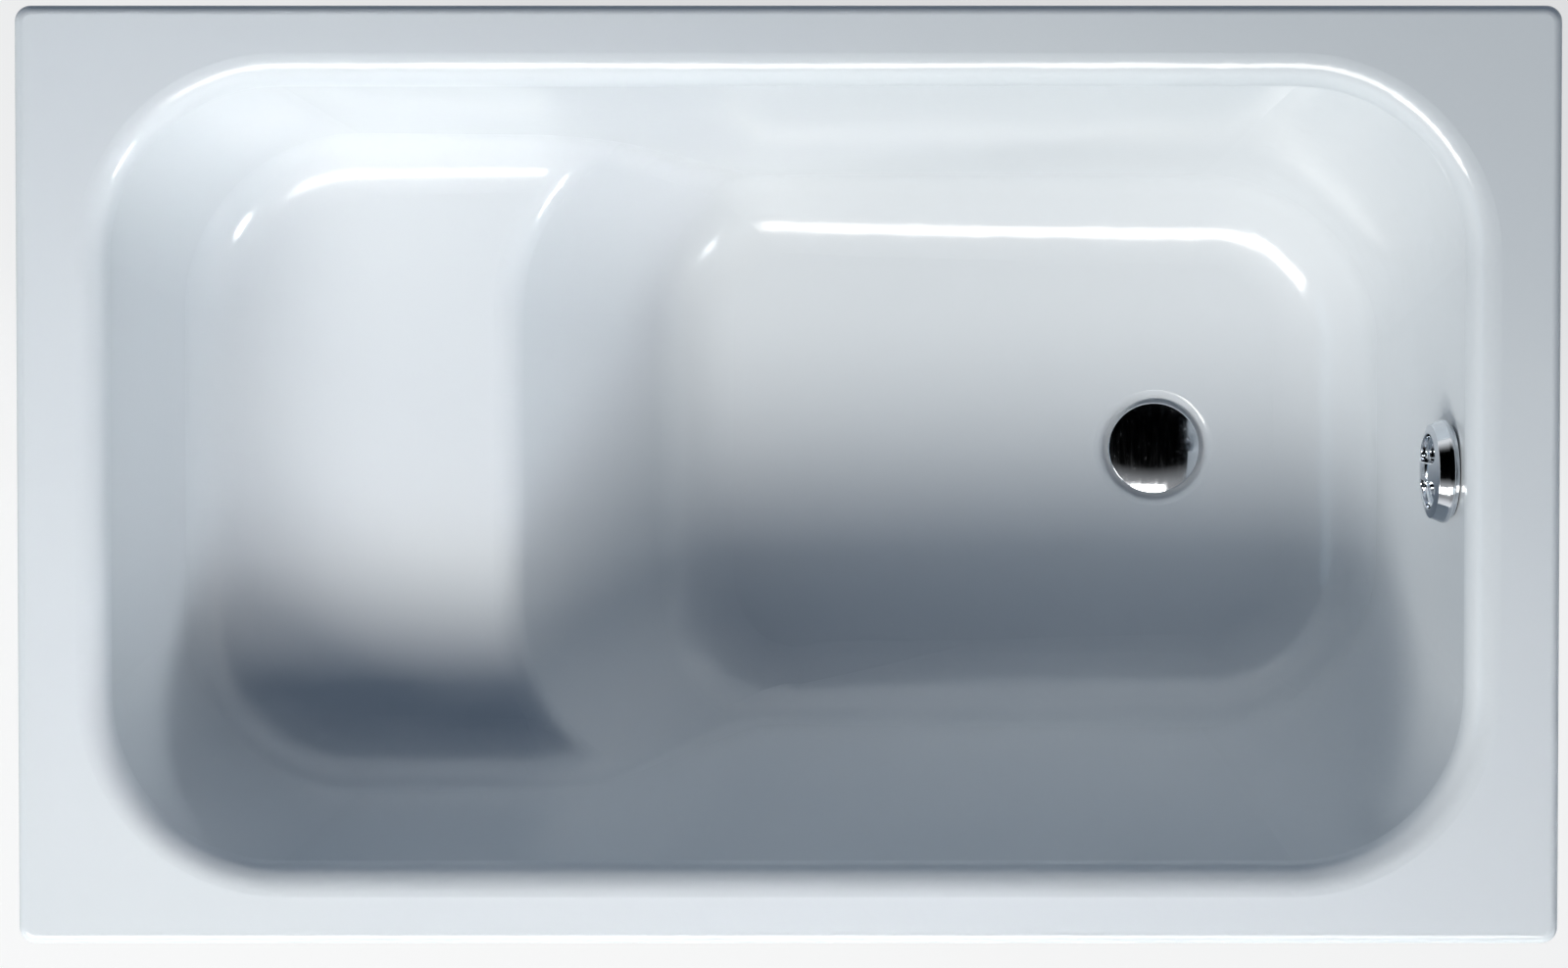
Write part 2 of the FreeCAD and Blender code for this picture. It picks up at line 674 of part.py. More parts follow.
def rail_pads():
    shell = bowl(SHEET)

    def pad(x, y):
        top = rail_top(x)
        half = RAIL_WIDTH / 2 - RAIL_BEND
        block = box(x - half, x + half, y - PAD_LENGTH / 2, y + PAD_LENGTH / 2, top, top + 2 * RAIL_GAP)
        return block.cut(shell)

    return group(on_both_rails(pad, PAD_Y))


def rail_brackets():
    shell = bowl(SHEET)
    layer = backing(BRACKET_SHEET)

    def bracket(x, y):
        face = x + RAIL_WIDTH / 2
        sides = (y - BRACKET_WIDTH / 2, y + BRACKET_WIDTH / 2)
        low = rail_top(x) - BRACKET_DROP
        high = rail_top(x) + 2 * RAIL_GAP
        upright = box(face, face + BRACKET_SHEET, *sides, low, high).cut(shell)
        ledge = layer.common(box(face, face + BRACKET_LEG, *sides, low, high))
        return upright.fuse(ledge).removeSplitter().cut(bolt_hole(x, y))

    return group(on_both_rails(bracket, BRACKET_Y))


def rail_bolts():
    head = hexagon(BOLT_ACROSS, 0, BOLT_HEAD)
    bolt = head.fuse(rod(BOLT_RADIUS, -BOLT_LENGTH, 0))

    def fitted(x, y):
        face = x + RAIL_WIDTH / 2 + BRACKET_SHEET
        return aimed(bolt, Vector(face, y, rail_top(x) - BOLT_DROP), ALONG)

    return group(on_both_rails(fitted, BRACKET_Y))


def rail_nuts():
    nut = hexagon(BOLT_ACROSS, -BOLT_NUT, 0).cut(rod(BOLT_RADIUS + THREAD, -REACH, REACH))

    def fitted(x, y):
        face = x + RAIL_WIDTH / 2 - RAIL_SHEET
        return aimed(nut, Vector(face, y, rail_top(x) - BOLT_DROP), ALONG)

    return group(on_both_rails(fitted, BRACKET_Y))


def square_bar(side, z0, z1, radius):
    half = side / 2
    bar = box(-half, half, -half, half, z0, z1)
    upright = [edge for edge in bar.Edges if edge.BoundBox.XLength + edge.BoundBox.YLength < HAIR]
    return bar.makeFillet(radius, upright)


def leg_posts(x):
    bottom = GROUND + POST_FOOT
    top = rail_top(x) - RAIL_SHEET
    inside = square_bar(POST_SIDE - 2 * POST_WALL, bottom - CUT, top + CUT, POST_ROUND - POST_WALL)
    post = square_bar(POST_SIDE, bottom, top, POST_ROUND).cut(inside)
    return group([moved(post, x, side * POST_Y) for side in (-1, 1)])


def at_posts(shape):
    return group(on_both_rails(lambda x, y: moved(shape, x, y, GROUND), POST_Y))


def leg_inserts():
    flange = square_bar(POST_SIDE, POST_FOOT - INSERT_FLANGE, POST_FOOT, POST_ROUND)
    plug = square_bar(POST_SIDE - 2 * POST_WALL - 2 * THREAD, POST_FOOT, POST_FOOT + INSERT_PLUG,
                      POST_ROUND - POST_WALL)
    return at_posts(flange.fuse(plug).cut(rod(FOOT_THREAD + SLIP, 0, REACH * 2)))


def jam_nuts():
    top = POST_FOOT - INSERT_FLANGE
    return at_posts(hexagon(FOOT_ACROSS, top - JAM_NUT, top).cut(rod(FOOT_THREAD + SLIP, 0, REACH * 2)))


def foot_pad():
    profile = [(0, 0), (FOOT_PAD_RADIUS, 0), (FOOT_PAD_RADIUS, FOOT_BASE),
               (FOOT_BOSS, FOOT_BASE + FOOT_EDGE), (FOOT_BOSS, FOOT_HEIGHT), (0, FOOT_HEIGHT)]
    pad = turned(profile, [FOOT_EDGE / 2, FOOT_EDGE * 2, FOOT_EDGE * 2, FOOT_EDGE])
    return pad.cut(rod(FOOT_THREAD + SLIP, FOOT_SOCKET, REACH))


def foot_spindle():
    chamfer = FOOT_EDGE / 2
    rodding = rod(FOOT_THREAD, SPINDLE_FOOT, SPINDLE_HEAD)
    ends = [edge for edge in rodding.Edges if edge.BoundBox.ZLength < HAIR]
    collar = hexagon(FOOT_ACROSS, COLLAR_BOTTOM, COLLAR_BOTTOM + COLLAR_HEIGHT)
    return rodding.makeChamfer(chamfer, ends).fuse(collar)


# Waste


def flange_gasket():
    return at_drain(tube(FLANGE_RADIUS - GASKET_STEP, GASKET_INNER, DISH_FLOOR, FLANGE_BOTTOM))


def waste_flange():
    inner = CUP_RADIUS - CUP_WALL
    bottom = FLANGE_TOP - CUP_LENGTH
    low = bottom + SPIDER_STEP
    profile = [(inner, bottom), (CUP_RADIUS, bottom), (CUP_RADIUS, FLANGE_BOTTOM),
               (FLANGE_RADIUS, FLANGE_BOTTOM), (FLANGE_RADIUS, FLANGE_TOP),
               (inner + MOUTH_CHAMFER, FLANGE_TOP), (inner, FLANGE_TOP - MOUTH_CHAMFER)]
    cup = turned(profile)
    hub = rod(HUB_RADIUS, low, low + HUB_HEIGHT)
    arms = []
    for i in range(SPIDER_ARMS):
        arm = box(0, inner + CUP_WALL / 2, -SPIDER_BAR / 2, SPIDER_BAR / 2, low, low + SPIDER_BAR)
        arm.rotate(Vector(0, 0, 0), UP, 360 / SPIDER_ARMS * i)
        arms.append(arm)
    whole = cup.fuse([hub] + arms).cut(rod(STEM_RADIUS + SLIP, bottom - CUT, FLANGE_TOP))
    return at_drain(whole.removeSplitter())


def body_gasket():
    return at_drain(tube(GASKET_OUTER, GASKET_INNER, BODY_TOP, BODY_TOP + BODY_GASKET))


def lever_box(inset):
    """Block beside the chamber in which the crank swings; inset gives the hollow inside it."""
    outer_face = -CABLE_SIDE - BOX_DEPTH / 2
    inner_face = -CABLE_SIDE + BOX_DEPTH / 2 if inset else -CHAMBER_RADIUS / 2
    return box(-BOX_BACK + inset, BOX_FRONT - inset, outer_face, inner_face,
               PIVOT_Z - BOX_BELOW + inset, PIVOT_Z + BOX_ABOVE - inset)


def waste_body():
    outer = CHAMBER_RADIUS + BODY_WALL
    flange = rod(BODY_FLANGE_RADIUS, BODY_TOP - BODY_FLANGE, BODY_TOP)
    chamber = rod(outer, OUTLET_TOP, BODY_TOP)
    outlet = rod(OUTLET_RADIUS, OUTLET_END, OUTLET_TOP)
    port = aimed(rod(SPIGOT_RADIUS, 0, PORT_REACH), Vector(0, 0, PORT_Z), ALONG)
    gland = aimed(rod(GLAND_RADIUS, BOX_FRONT, BOX_FRONT + FERRULE_LENGTH - FERRULE_STEP),
                  Vector(0, -CABLE_SIDE, CABLE_LOW_Z), ALONG)
    solid = flange.fuse([chamber, outlet, port, lever_box(0), gland])
    pivot = Vector(-LEVER_ARM, 0, PIVOT_Z)
    hollows = [
        rod(CUP_RADIUS + THREAD, BODY_TOP - NECK_LENGTH - CUT, BODY_TOP + CUT),
        rod(CHAMBER_RADIUS, CHAMBER_FLOOR, BODY_TOP - NECK_LENGTH),
        rod(OUTLET_BORE, OUTLET_END - CUT, CHAMBER_FLOOR + CUT),
        aimed(rod(OVERFLOW_PIPE - OVERFLOW_PIPE_WALL, 0, PORT_REACH), Vector(0, 0, PORT_Z), ALONG),
        aimed(rod(OVERFLOW_PIPE + THREAD, PORT_STOP, PORT_REACH + CUT), Vector(0, 0, PORT_Z), ALONG),
        lever_box(BOX_WALL),
        aimed(rod(SHAFT_RADIUS + SLIP, -CABLE_SIDE, BEARING_END), pivot, ACROSS),
        aimed(rod(FERRULE_RADIUS + THREAD, BOX_FRONT + FERRULE_STEP, BOX_FRONT + REACH),
              Vector(0, -CABLE_SIDE, CABLE_LOW_Z), ALONG),
        aimed(rod(WIRE_BORE, 0, BOX_FRONT + REACH), Vector(0, -CABLE_SIDE, CABLE_LOW_Z), ALONG),
    ]
    return at_drain(solid.cut(hollows).removeSplitter())


def lever_cover():
    face = -CABLE_SIDE - BOX_DEPTH / 2
    plate = box(-BOX_BACK, BOX_FRONT, face - COVER, face, PIVOT_Z - BOX_BELOW, PIVOT_Z + BOX_ABOVE)
    outer = [e for e in plate.Edges if e.BoundBox.YMax < face - COVER + HAIR]
    return at_drain(plate.makeFillet(COVER_EDGE, outer))


def lift_lever():
    """Shaft with the arm under the plug stem and the crank that the cable pulls."""
    pivot = Vector(-LEVER_ARM, 0, PIVOT_Z)
    half_width = LEVER_WIDTH / 2
    half_thick = LEVER_THICKNESS / 2
    shaft = aimed(rod(SHAFT_RADIUS, -CABLE_SIDE - CRANK_WIDTH / 2, BEARING_END - END_PLAY), pivot, ACROSS)
    arm = box(-LEVER_ARM, LEVER_OVERHANG, -half_width, half_width,
              PIVOT_Z - half_thick, PIVOT_Z + half_thick)
    boss = aimed(rod(SHAFT_BOSS, -half_width, half_width), pivot, ACROSS)
    sides = (-CABLE_SIDE - CRANK_WIDTH / 2, -CABLE_SIDE + CRANK_WIDTH / 2)
    web = box(-LEVER_ARM - SHAFT_RADIUS, -LEVER_ARM + SHAFT_RADIUS, *sides, CABLE_LOW_Z, PIVOT_Z)
    eye = aimed(rod(CRANK_EYE, *sides), Vector(-LEVER_ARM, 0, CABLE_LOW_Z), ACROSS)
    knuckle = aimed(rod(SHAFT_BOSS, *sides), pivot, ACROSS)
    nipple = aimed(rod(CABLE_RADIUS / 2, -RIM_WIDTH, RIM_WIDTH), Vector(-LEVER_ARM, 0, CABLE_LOW_Z), ACROSS)
    return at_drain(shaft.fuse([arm, boss, web, eye, knuckle]).cut(nipple).removeSplitter())


def plug_cover():
    """Shallow chromed dome with a rolled edge, hollow beneath, and the boss that takes the stem."""
    top = PLUG_BOTTOM + PLUG_EDGE

    def cap(radius, base, crown):
        ball = (radius ** 2 + crown ** 2) / (2 * crown)
        sphere = Part.makeSphere(ball, Vector(0, 0, base + crown - ball))
        return sphere.common(rod(radius, base, base + crown))

    edge = rod(PLUG_RADIUS, PLUG_BOTTOM, top)
    dome = edge.fuse(cap(PLUG_RADIUS, top, PLUG_CROWN)).removeSplitter()
    rim = [e for e in dome.Edges if e.BoundBox.XLength > PLUG_RADIUS]
    dome = dome.makeFillet(PLUG_EDGE / 3, rim)
    hollow = rod(PLUG_RADIUS - PLUG_SKIN, PLUG_BOTTOM - CUT, top - PLUG_SKIN)
    hollow = hollow.fuse(cap(PLUG_RADIUS - PLUG_SKIN, top - PLUG_SKIN, PLUG_CROWN))
    boss = rod(PLUG_BOSS, PLUG_BOTTOM, top + PLUG_CROWN - PLUG_SKIN / 2)
    bore = rod(STEM_RADIUS, PLUG_BOTTOM - CUT, top)
    return at_drain(dome.cut(hollow).fuse(boss).cut(bore).removeSplitter())


def plug_stem():
    top = PLUG_BOTTOM + PLUG_EDGE
    stem = rod(STEM_RADIUS, STEM_TIP + STEM_RADIUS, top)
    tip = Part.makeSphere(STEM_RADIUS, Vector(0, 0, STEM_TIP + STEM_RADIUS))
    return at_drain(stem.fuse(tip).removeSplitter())


def plug_seal():
    """Rubber lip ring that closes on the mouth of the flange."""
    inner = STEM_RADIUS + THREAD
    low = PLUG_BOTTOM - SEAL_THICKNESS
    lip = CUP_RADIUS - CUP_WALL - SLIP
    profile = [(inner, low), (lip, low), (lip + SEAL_FLARE, FLANGE_TOP + SLIP),
               (SEAL_RADIUS, FLANGE_TOP + SLIP), (SEAL_RADIUS, PLUG_BOTTOM), (inner, PLUG_BOTTOM)]
    return at_drain(turned(profile))


def stem_nut():
    top = PLUG_BOTTOM - SEAL_THICKNESS
    nut = hexagon(STEM_NUT_ACROSS, top - STEM_NUT_HEIGHT, top)
    return at_drain(nut.cut(rod(STEM_RADIUS + THREAD, top - REACH, top + CUT)))


# Screwed pipe joints


def union_nut(bore, thread, length):
    """Ribbed nut along +Z: a lip round the pipe at z = 0 and a threaded skirt below it."""
    outer = thread + NUT_WALL
    body = rod(outer, -length, NUT_LIP)
    ends = [edge for edge in body.Edges if edge.BoundBox.ZLength < HAIR]
    body = body.makeFillet(NUT_WALL / 4, ends)
    ribs = []
    for i in range(NUT_RIBS):
        turn = 360 / NUT_RIBS * i
        rib = rod(RIB_RADIUS, -length + NUT_WALL / 2, NUT_LIP - NUT_WALL / 2)
        ribs.append(moved(rib, outer * cos(turn), outer * sin(turn)))
    bores = [rod(thread + THREAD, -length - CUT, 0), rod(bore + THREAD, -CUT, NUT_LIP + CUT)]
    return body.fuse(ribs).cut(bores).removeSplitter()


def ring_seal(bore, thread):
    return tube(thread, bore + THREAD, -SEAL_RING, 0)


def trap_nut():
    nut = union_nut(PIPE_RADIUS, OUTLET_RADIUS, OUTLET_LENGTH - BODY_WALL - NUT_RUN)
    return at_drain(aimed(nut, Vector(0, 0, TRAP_TOP - TRAP_COLLAR), -UP))


def trap_washer():
    return at_drain(tube(OUTLET_RADIUS, OUTLET_BORE, TRAP_TOP, OUTLET_END))


def trap_path():
    back = -2 * TRAP_BEND
    return [Vector(0, 0, TRAP_TOP), Vector(0, 0, TRAP_LOW), Vector(back, 0, TRAP_LOW),
            Vector(back, 0, OUTLET_Z), Vector(-SOCKET_START, 0, OUTLET_Z)]


def trap_bend():
    """Water seal: down, round and up again, ending in the socket of the outlet pipe."""
    path = trap_path()
    bends = [TRAP_BEND, TRAP_BEND, OUTLET_BEND]
    collar = rod(OUTLET_RADIUS, TRAP_TOP - TRAP_COLLAR, TRAP_TOP)
    socket_start = path[-1]
    socket = aimed(rod(SOCKET_RADIUS, 0, SOCKET_LENGTH), socket_start, -ALONG)
    solid = swept(path, bends, PIPE_RADIUS).fuse([collar, socket])
    bore = swept(path, bends, PIPE_RADIUS - PIPE_WALL)
    seat = aimed(rod(PIPE_RADIUS + THREAD, SOCKET_STOP, REACH), socket_start, -ALONG)
    mouth = aimed(rod(PIPE_RADIUS - PIPE_WALL, -CUT, REACH), socket_start, -ALONG)
    return at_drain(solid.cut([bore, seat, mouth]).removeSplitter())


def at_outlet(shape):
    """Along the outlet, from the mouth of the trap's socket."""
    return at_drain(aimed(shape, Vector(-SOCKET_END, 0, OUTLET_Z), -ALONG))


def outlet_nut():
    nut = union_nut(PIPE_RADIUS, SOCKET_RADIUS, SOCKET_LENGTH - NUT_WALL)
    return at_outlet(moved(nut, z=SEAL_RING))


def outlet_seal():
    return at_outlet(moved(ring_seal(PIPE_RADIUS, SOCKET_RADIUS), z=SEAL_RING))


def outlet_pipe():
    start = SOCKET_STOP - SOCKET_LENGTH
    end = start + OUTLET_PIPE_LENGTH
    bead = end - OUTLET_SPIGOT
    pipe = rod(PIPE_RADIUS, start, end).fuse(rod(PIPE_RADIUS + BEAD_RISE, bead - STOP_BEAD, bead))
    return at_outlet(pipe.cut(rod(PIPE_RADIUS - PIPE_WALL, start - CUT, end + CUT)))


# Overflow, in its own frame: z = 0 on the enamel, +z into the tub, +y up the wall


def overflow_gasket():
    return at_overflow(tube(HOUSING_FLANGE_RADIUS - GASKET_STEP, GASKET_INNER, -HOUSING_TOP, -SHEET))


def cable_line(run):
    """A point on the cable's line where it leaves the drum, the given run from the tangent point."""
    start = Vector(cos(CABLE_SPLAY), sin(CABLE_SPLAY), 0) * DRUM_RADIUS
    heading = Vector(sin(CABLE_SPLAY), -cos(CABLE_SPLAY), 0)
    return start + heading * run - UP * DRUM_PLANE, heading


def overflow_body():
    """Housing behind the wall: water outlet below, screw bosses inside, and the gland of the cable."""
    back = -HOUSING_TOP - HOUSING_DEPTH
    inside = HOUSING_RADIUS - HOUSING_WALL
    down = -ACROSS
    spigot_root = Vector(0, 0, -SPIGOT_DEPTH)
    gland_point, gland_heading = cable_line(GLAND_RUN)
    flange = rod(HOUSING_FLANGE_RADIUS, -HOUSING_TOP - HOUSING_FLANGE, -HOUSING_TOP)
    cup = rod(HOUSING_RADIUS, back, -HOUSING_TOP)
    spigot = aimed(rod(SPIGOT_RADIUS, 0, SPIGOT_END), spigot_root, down)
    gland = aimed(rod(GLAND_RADIUS, -GLAND_ROOT, FERRULE_LENGTH - GLAND_ROOT), gland_point, gland_heading)
    hollow = rod(inside, back + HOUSING_WALL, -HOUSING_TOP + CUT)
    shell = flange.fuse([cup, spigot, gland]).cut([
        hollow,
        aimed(rod(OVERFLOW_PIPE - OVERFLOW_PIPE_WALL, 0, SPIGOT_END + CUT), spigot_root, down),
        aimed(rod(OVERFLOW_PIPE + THREAD, SPIGOT_STOP, SPIGOT_END + CUT), spigot_root, down),
        aimed(rod(FERRULE_RADIUS + THREAD, 0, REACH), gland_point, gland_heading),
    ])
    posts = []
    levels = (-BOSS_END, -HOUSING_TOP - HOUSING_FLANGE)
    for side in (-1, 1):
        posts.append(rod(BOSS_RADIUS, *levels, side * BOSS_OFFSET))
        reach = sorted((side * BOSS_OFFSET, side * (inside + HOUSING_WALL / 2)))
        posts.append(box(*reach, -HOUSING_WALL / 2, HOUSING_WALL / 2, *levels))
    bores = [rod(SCREW_RADIUS + THREAD, -BOSS_END - CUT, 0, side * BOSS_OFFSET) for side in (-1, 1)]
    return at_overflow(shell.fuse(posts).cut(bores).removeSplitter())


def face_seal():
    return at_overflow(tube(FACE_RADIUS - GASKET_STEP, SHELL_HOLE + GASKET_STEP, 0, FACE_SEAL))


def face_plate():
    """Ring on the enamel with a bar that carries the knob's bearing and the two screws."""
    top = FACE_SEAL + FACE_PLATE
    ring = tube(FACE_RADIUS, SHELL_HOLE, FACE_SEAL, top)
    bar = box(-SHELL_HOLE - CUT, SHELL_HOLE + CUT, -FACE_BAR / 2, FACE_BAR / 2, FACE_SEAL, top)
    bearing = rod(HUB_RADIUS, FACE_SEAL - HUB_HEIGHT, top)
    holes = [rod(SCREW_RADIUS + SLIP, -CUT, top + CUT, side * BOSS_OFFSET) for side in (-1, 1)]
    holes.append(rod(STEM_RADIUS + SLIP, -REACH, REACH))
    return at_overflow(ring.fuse([bar, bearing]).cut(holes).removeSplitter())


def face_screws():
    top = FACE_SEAL + FACE_PLATE
    head = rod(SCREW_HEAD, top, top + SCREW_HEAD_HEIGHT)
    upper = [edge for edge in head.Edges if edge.BoundBox.ZMin > top + HAIR]
    head = head.makeFillet(SCREW_HEAD_HEIGHT / 2, upper)
    slot = box(-SCREW_HEAD, SCREW_HEAD, -SCREW_SLOT / 2, SCREW_SLOT / 2,
               top + SCREW_HEAD_HEIGHT / 2, top + REACH)
    screw = head.fuse(rod(SCREW_RADIUS, top - SCREW_LENGTH, top)).cut(slot)
    return at_overflow(group([moved(screw, side * BOSS_OFFSET) for side in (-1, 1)]))


def rotary_knob():
    """Chromed knob: a domed face with a finger pocket on each side of a grip bar."""
    edge = KNOB_BACK + KNOB_WALL
    rise = KNOB_CROWN - KNOB_SHOULDER
    ball = (KNOB_FRONT_RADIUS ** 2 + rise ** 2) / (2 * rise)
    profile = [(0, KNOB_BACK), (KNOB_RADIUS, KNOB_BACK), (KNOB_RADIUS, edge),
               (KNOB_FRONT_RADIUS, KNOB_CROWN), (0, KNOB_CROWN)]
    body = turned(profile, [KNOB_EDGE, KNOB_WALL * 2, KNOB_WALL * 2])
    body = body.common(Part.makeSphere(ball, Vector(0, 0, KNOB_CROWN - ball)))
    pockets = []
    for side in (-1, 1):
        reach = sorted((side * GRIP_BAR / 2, side * KNOB_RADIUS))
        half = box(*reach, -KNOB_RADIUS, KNOB_RADIUS, POCKET_FLOOR, REACH)
        pocket = rod(POCKET_RADIUS, POCKET_FLOOR, REACH).common(half)
        upright = [e for e in pocket.Edges if e.BoundBox.ZLength > HAIR and e.BoundBox.XLength < HAIR]
        pocket = pocket.makeFillet(POCKET_CORNER, upright)
        floor = [e for e in pocket.Edges if e.BoundBox.ZMax < POCKET_FLOOR + HAIR]
        pockets.append(pocket.makeFillet(POCKET_CORNER / 2, floor))
    body = body.cut(pockets)
    walls_end = POCKET_FLOOR + POCKET_CORNER / 2 + HAIR
    pocket_edge = POCKET_RADIUS + HAIR
    mouth = [e for e in body.Edges if e.BoundBox.ZMin > walls_end and e.BoundBox.YMax < pocket_edge]
    body = body.makeFillet(POCKET_EDGE, mouth)
    hollow = tube(KNOB_RADIUS - 2 * KNOB_WALL, KNOB_HUB, KNOB_BACK - CUT, KNOB_HOLLOW)
    bore = rod(STEM_RADIUS, 0, SPINDLE_TOP)
    return at_overflow(body.cut([hollow, bore]))


def knob_spindle():
    return at_overflow(rod(STEM_RADIUS, -SPINDLE_BOTTOM, SPINDLE_TOP))


def cable_drum():
    """Small drum on the spindle; the cable's wire winds on it."""
    low = -DRUM_PLANE - DRUM_WIDTH / 2
    high = -DRUM_PLANE + DRUM_WIDTH / 2
    cheek = DRUM_WIDTH / 4
    profile = [(STEM_RADIUS, low), (DRUM_FLANGE, low), (DRUM_FLANGE, low + cheek),
               (DRUM_RADIUS, low + cheek), (DRUM_RADIUS, high - cheek),
               (DRUM_FLANGE, high - cheek), (DRUM_FLANGE, high), (STEM_RADIUS, high)]
    return at_overflow(turned(profile))


def to_tub(point):
    """A point of the overflow's frame in the tub's frame."""
    return OVERFLOW_POINT + WALL_UP.cross(WALL_NORMAL) * point.x + WALL_UP * point.y + WALL_NORMAL * point.z


def level_crossing(start, z):
    """Where a line down the end wall from the start reaches the height z."""
    return start - WALL_UP * ((start.z - z) / WALL_UP.z)


def overflow_path():
    start = to_tub(Vector(0, -SPIGOT_STOP, -SPIGOT_DEPTH))
    return [start, level_crossing(start, PORT_Z), Vector(DRAIN_X + PORT_STOP, 0, PORT_Z)]


def overflow_pipe():
    """Smooth at both ends, corrugated round its bend."""
    path = overflow_path()
    outside = swept(path, [OVERFLOW_BEND], OVERFLOW_PIPE)
    bend = rounded_path(path, [OVERFLOW_BEND])[1]
    ribs = []
    for i in range(RIB_COUNT):
        place = bend.FirstParameter + (bend.LastParameter - bend.FirstParameter) * i / (RIB_COUNT - 1)
        ring = Part.makeTorus(OVERFLOW_PIPE, RIB_RADIUS)
        ribs.append(aimed(ring, bend.valueAt(place), bend.tangentAt(place)))
    inside = swept(path, [OVERFLOW_BEND], OVERFLOW_PIPE - OVERFLOW_PIPE_WALL)
    return outside.fuse(ribs).cut(inside)


def at_pipe_ends(shape):
    """A shape made along +Z at the mouth of each of the two spigots."""
    upper = aimed(shape, to_tub(Vector(0, -SPIGOT_END, -SPIGOT_DEPTH)), -WALL_UP)
    lower = aimed(shape, Vector(DRAIN_X + PORT_REACH, 0, PORT_Z), ALONG)
    return group([upper, lower])


def overflow_nuts():
    nut = union_nut(OVERFLOW_PIPE, SPIGOT_RADIUS, SPIGOT_END - SPIGOT_STOP - NUT_WALL * 2)
    return at_pipe_ends(moved(nut, z=SEAL_RING))


def overflow_seals():
    return at_pipe_ends(moved(ring_seal(OVERFLOW_PIPE, SPIGOT_RADIUS), z=SEAL_RING))


def cable_ferrules():
    ferrule = tube(FERRULE_RADIUS, WIRE_BORE, 0, FERRULE_LENGTH)
    point, heading = cable_line(GLAND_RUN)
    upper = at_overflow(aimed(ferrule, point, heading))
    lower = aimed(ferrule, Vector(DRAIN_X + BOX_FRONT + FERRULE_STEP, -CABLE_SIDE, CABLE_LOW_Z), ALONG)
    return group([upper, lower])


def control_cable():
    """Sleeve of the cable, from ferrule to ferrule."""
    point, heading = cable_line(GLAND_RUN + FERRULE_LENGTH)
    corner, heading = cable_line((CABLE_SIDE - DRUM_RADIUS * cos(CABLE_SPLAY)) / sin(CABLE_SPLAY))
    start = to_tub(point)
    turn = to_tub(corner)
    end = Vector(DRAIN_X + BOX_FRONT + FERRULE_STEP + FERRULE_LENGTH, -CABLE_SIDE, CABLE_LOW_Z)
    path = [start, turn, level_crossing(turn, CABLE_LOW_Z), end]
    return swept(path, [CABLE_TOP_BEND, CABLE_LOW_BEND], CABLE_RADIUS)


# Every piece, by the name of its file

PIECES = {
    "tub_shell": tub_shell,
    "sound_pads": sound_pads,
    "earthing_tab": earthing_tab,
    "drain_end_rail": lambda: foot_rail(DRAIN_RAIL_X),
    "seat_end_rail": lambda: foot_rail(SEAT_RAIL_X),
    "rail_pads": rail_pads,
    "rail_brackets": rail_brackets,
    "rail_bolts": rail_bolts,
    "rail_nuts": rail_nuts,
    "drain_end_posts": lambda: leg_posts(DRAIN_RAIL_X),
    "seat_end_posts": lambda: leg_posts(SEAT_RAIL_X),
    "leg_inserts": leg_inserts,
    "jam_nuts": jam_nuts,
    "flange_gasket": flange_gasket,
    "waste_flange": waste_flange,
    "body_gasket": body_gasket,
    "waste_body": waste_body,
    "lever_cover": lever_cover,
    "lift_lever": lift_lever,
    "plug_cover": plug_cover,
    "plug_stem": plug_stem,
    "plug_seal": plug_seal,
    "stem_nut": stem_nut,
    "trap_nut": trap_nut,
    "trap_washer": trap_washer,
    "trap_bend": trap_bend,
    "outlet_nut": outlet_nut,
    "outlet_seal": outlet_seal,
    "outlet_pipe": outlet_pipe,
    "overflow_gasket": overflow_gasket,
    "overflow_body": overflow_body,
    "face_seal": face_seal,
    "face_plate": face_plate,
    "face_screws": face_screws,
    "rotary_knob": rotary_knob,
    "knob_spindle": knob_spindle,
    "cable_drum": cable_drum,
    "overflow_pipe": overflow_pipe,
    "overflow_nuts": overflow_nuts,
    "overflow_seals": overflow_seals,
    "cable_ferrules": cable_ferrules,
    "control_cable": control_cable,
}

FOOT_PLACES = {
    "drain_left": (DRAIN_RAIL_X, -POST_Y),
    "drain_right": (DRAIN_RAIL_X, POST_Y),
    "seat_left": (SEAT_RAIL_X, -POST_Y),
    "seat_right": (SEAT_RAIL_X, POST_Y),
}


def write(name, shape):
    moved(shape, z=RIM_HEIGHT).exportStep(f"parts/{name}.step")


os.makedirs("parts", exist_ok=True)
for piece, make in PIECES.items():
    write(piece, make())
for place, (foot_x, foot_y) in FOOT_PLACES.items():
    write(f"foot_pad_{place}", moved(foot_pad(), foot_x, foot_y, GROUND))
    write(f"foot_spindle_{place}", moved(foot_spindle(), foot_x, foot_y, GROUND))
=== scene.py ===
# %% [markdown]
# # A sit-in bathtub of enamelled steel
# The solids come packed from the CAD model, in metres, with the floor at z = 0, the seat at -X and the
# drain at +X. This lesson loads them as a fixed frame and gives every piece the finish that it has on a
# real tub: gloss enamel above and a dark ground coat below, chrome, galvanised sheet, zinc, brass, rubber
# and plastics. The screws and feet, which the CAD model draws without threads, are turned again in mesh
# code. A camera over the tub, a floor, soft boxes and a plain studio complete it.

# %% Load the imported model
import json
import math

import bmesh
import bpy
from mathutils import Matrix, Vector


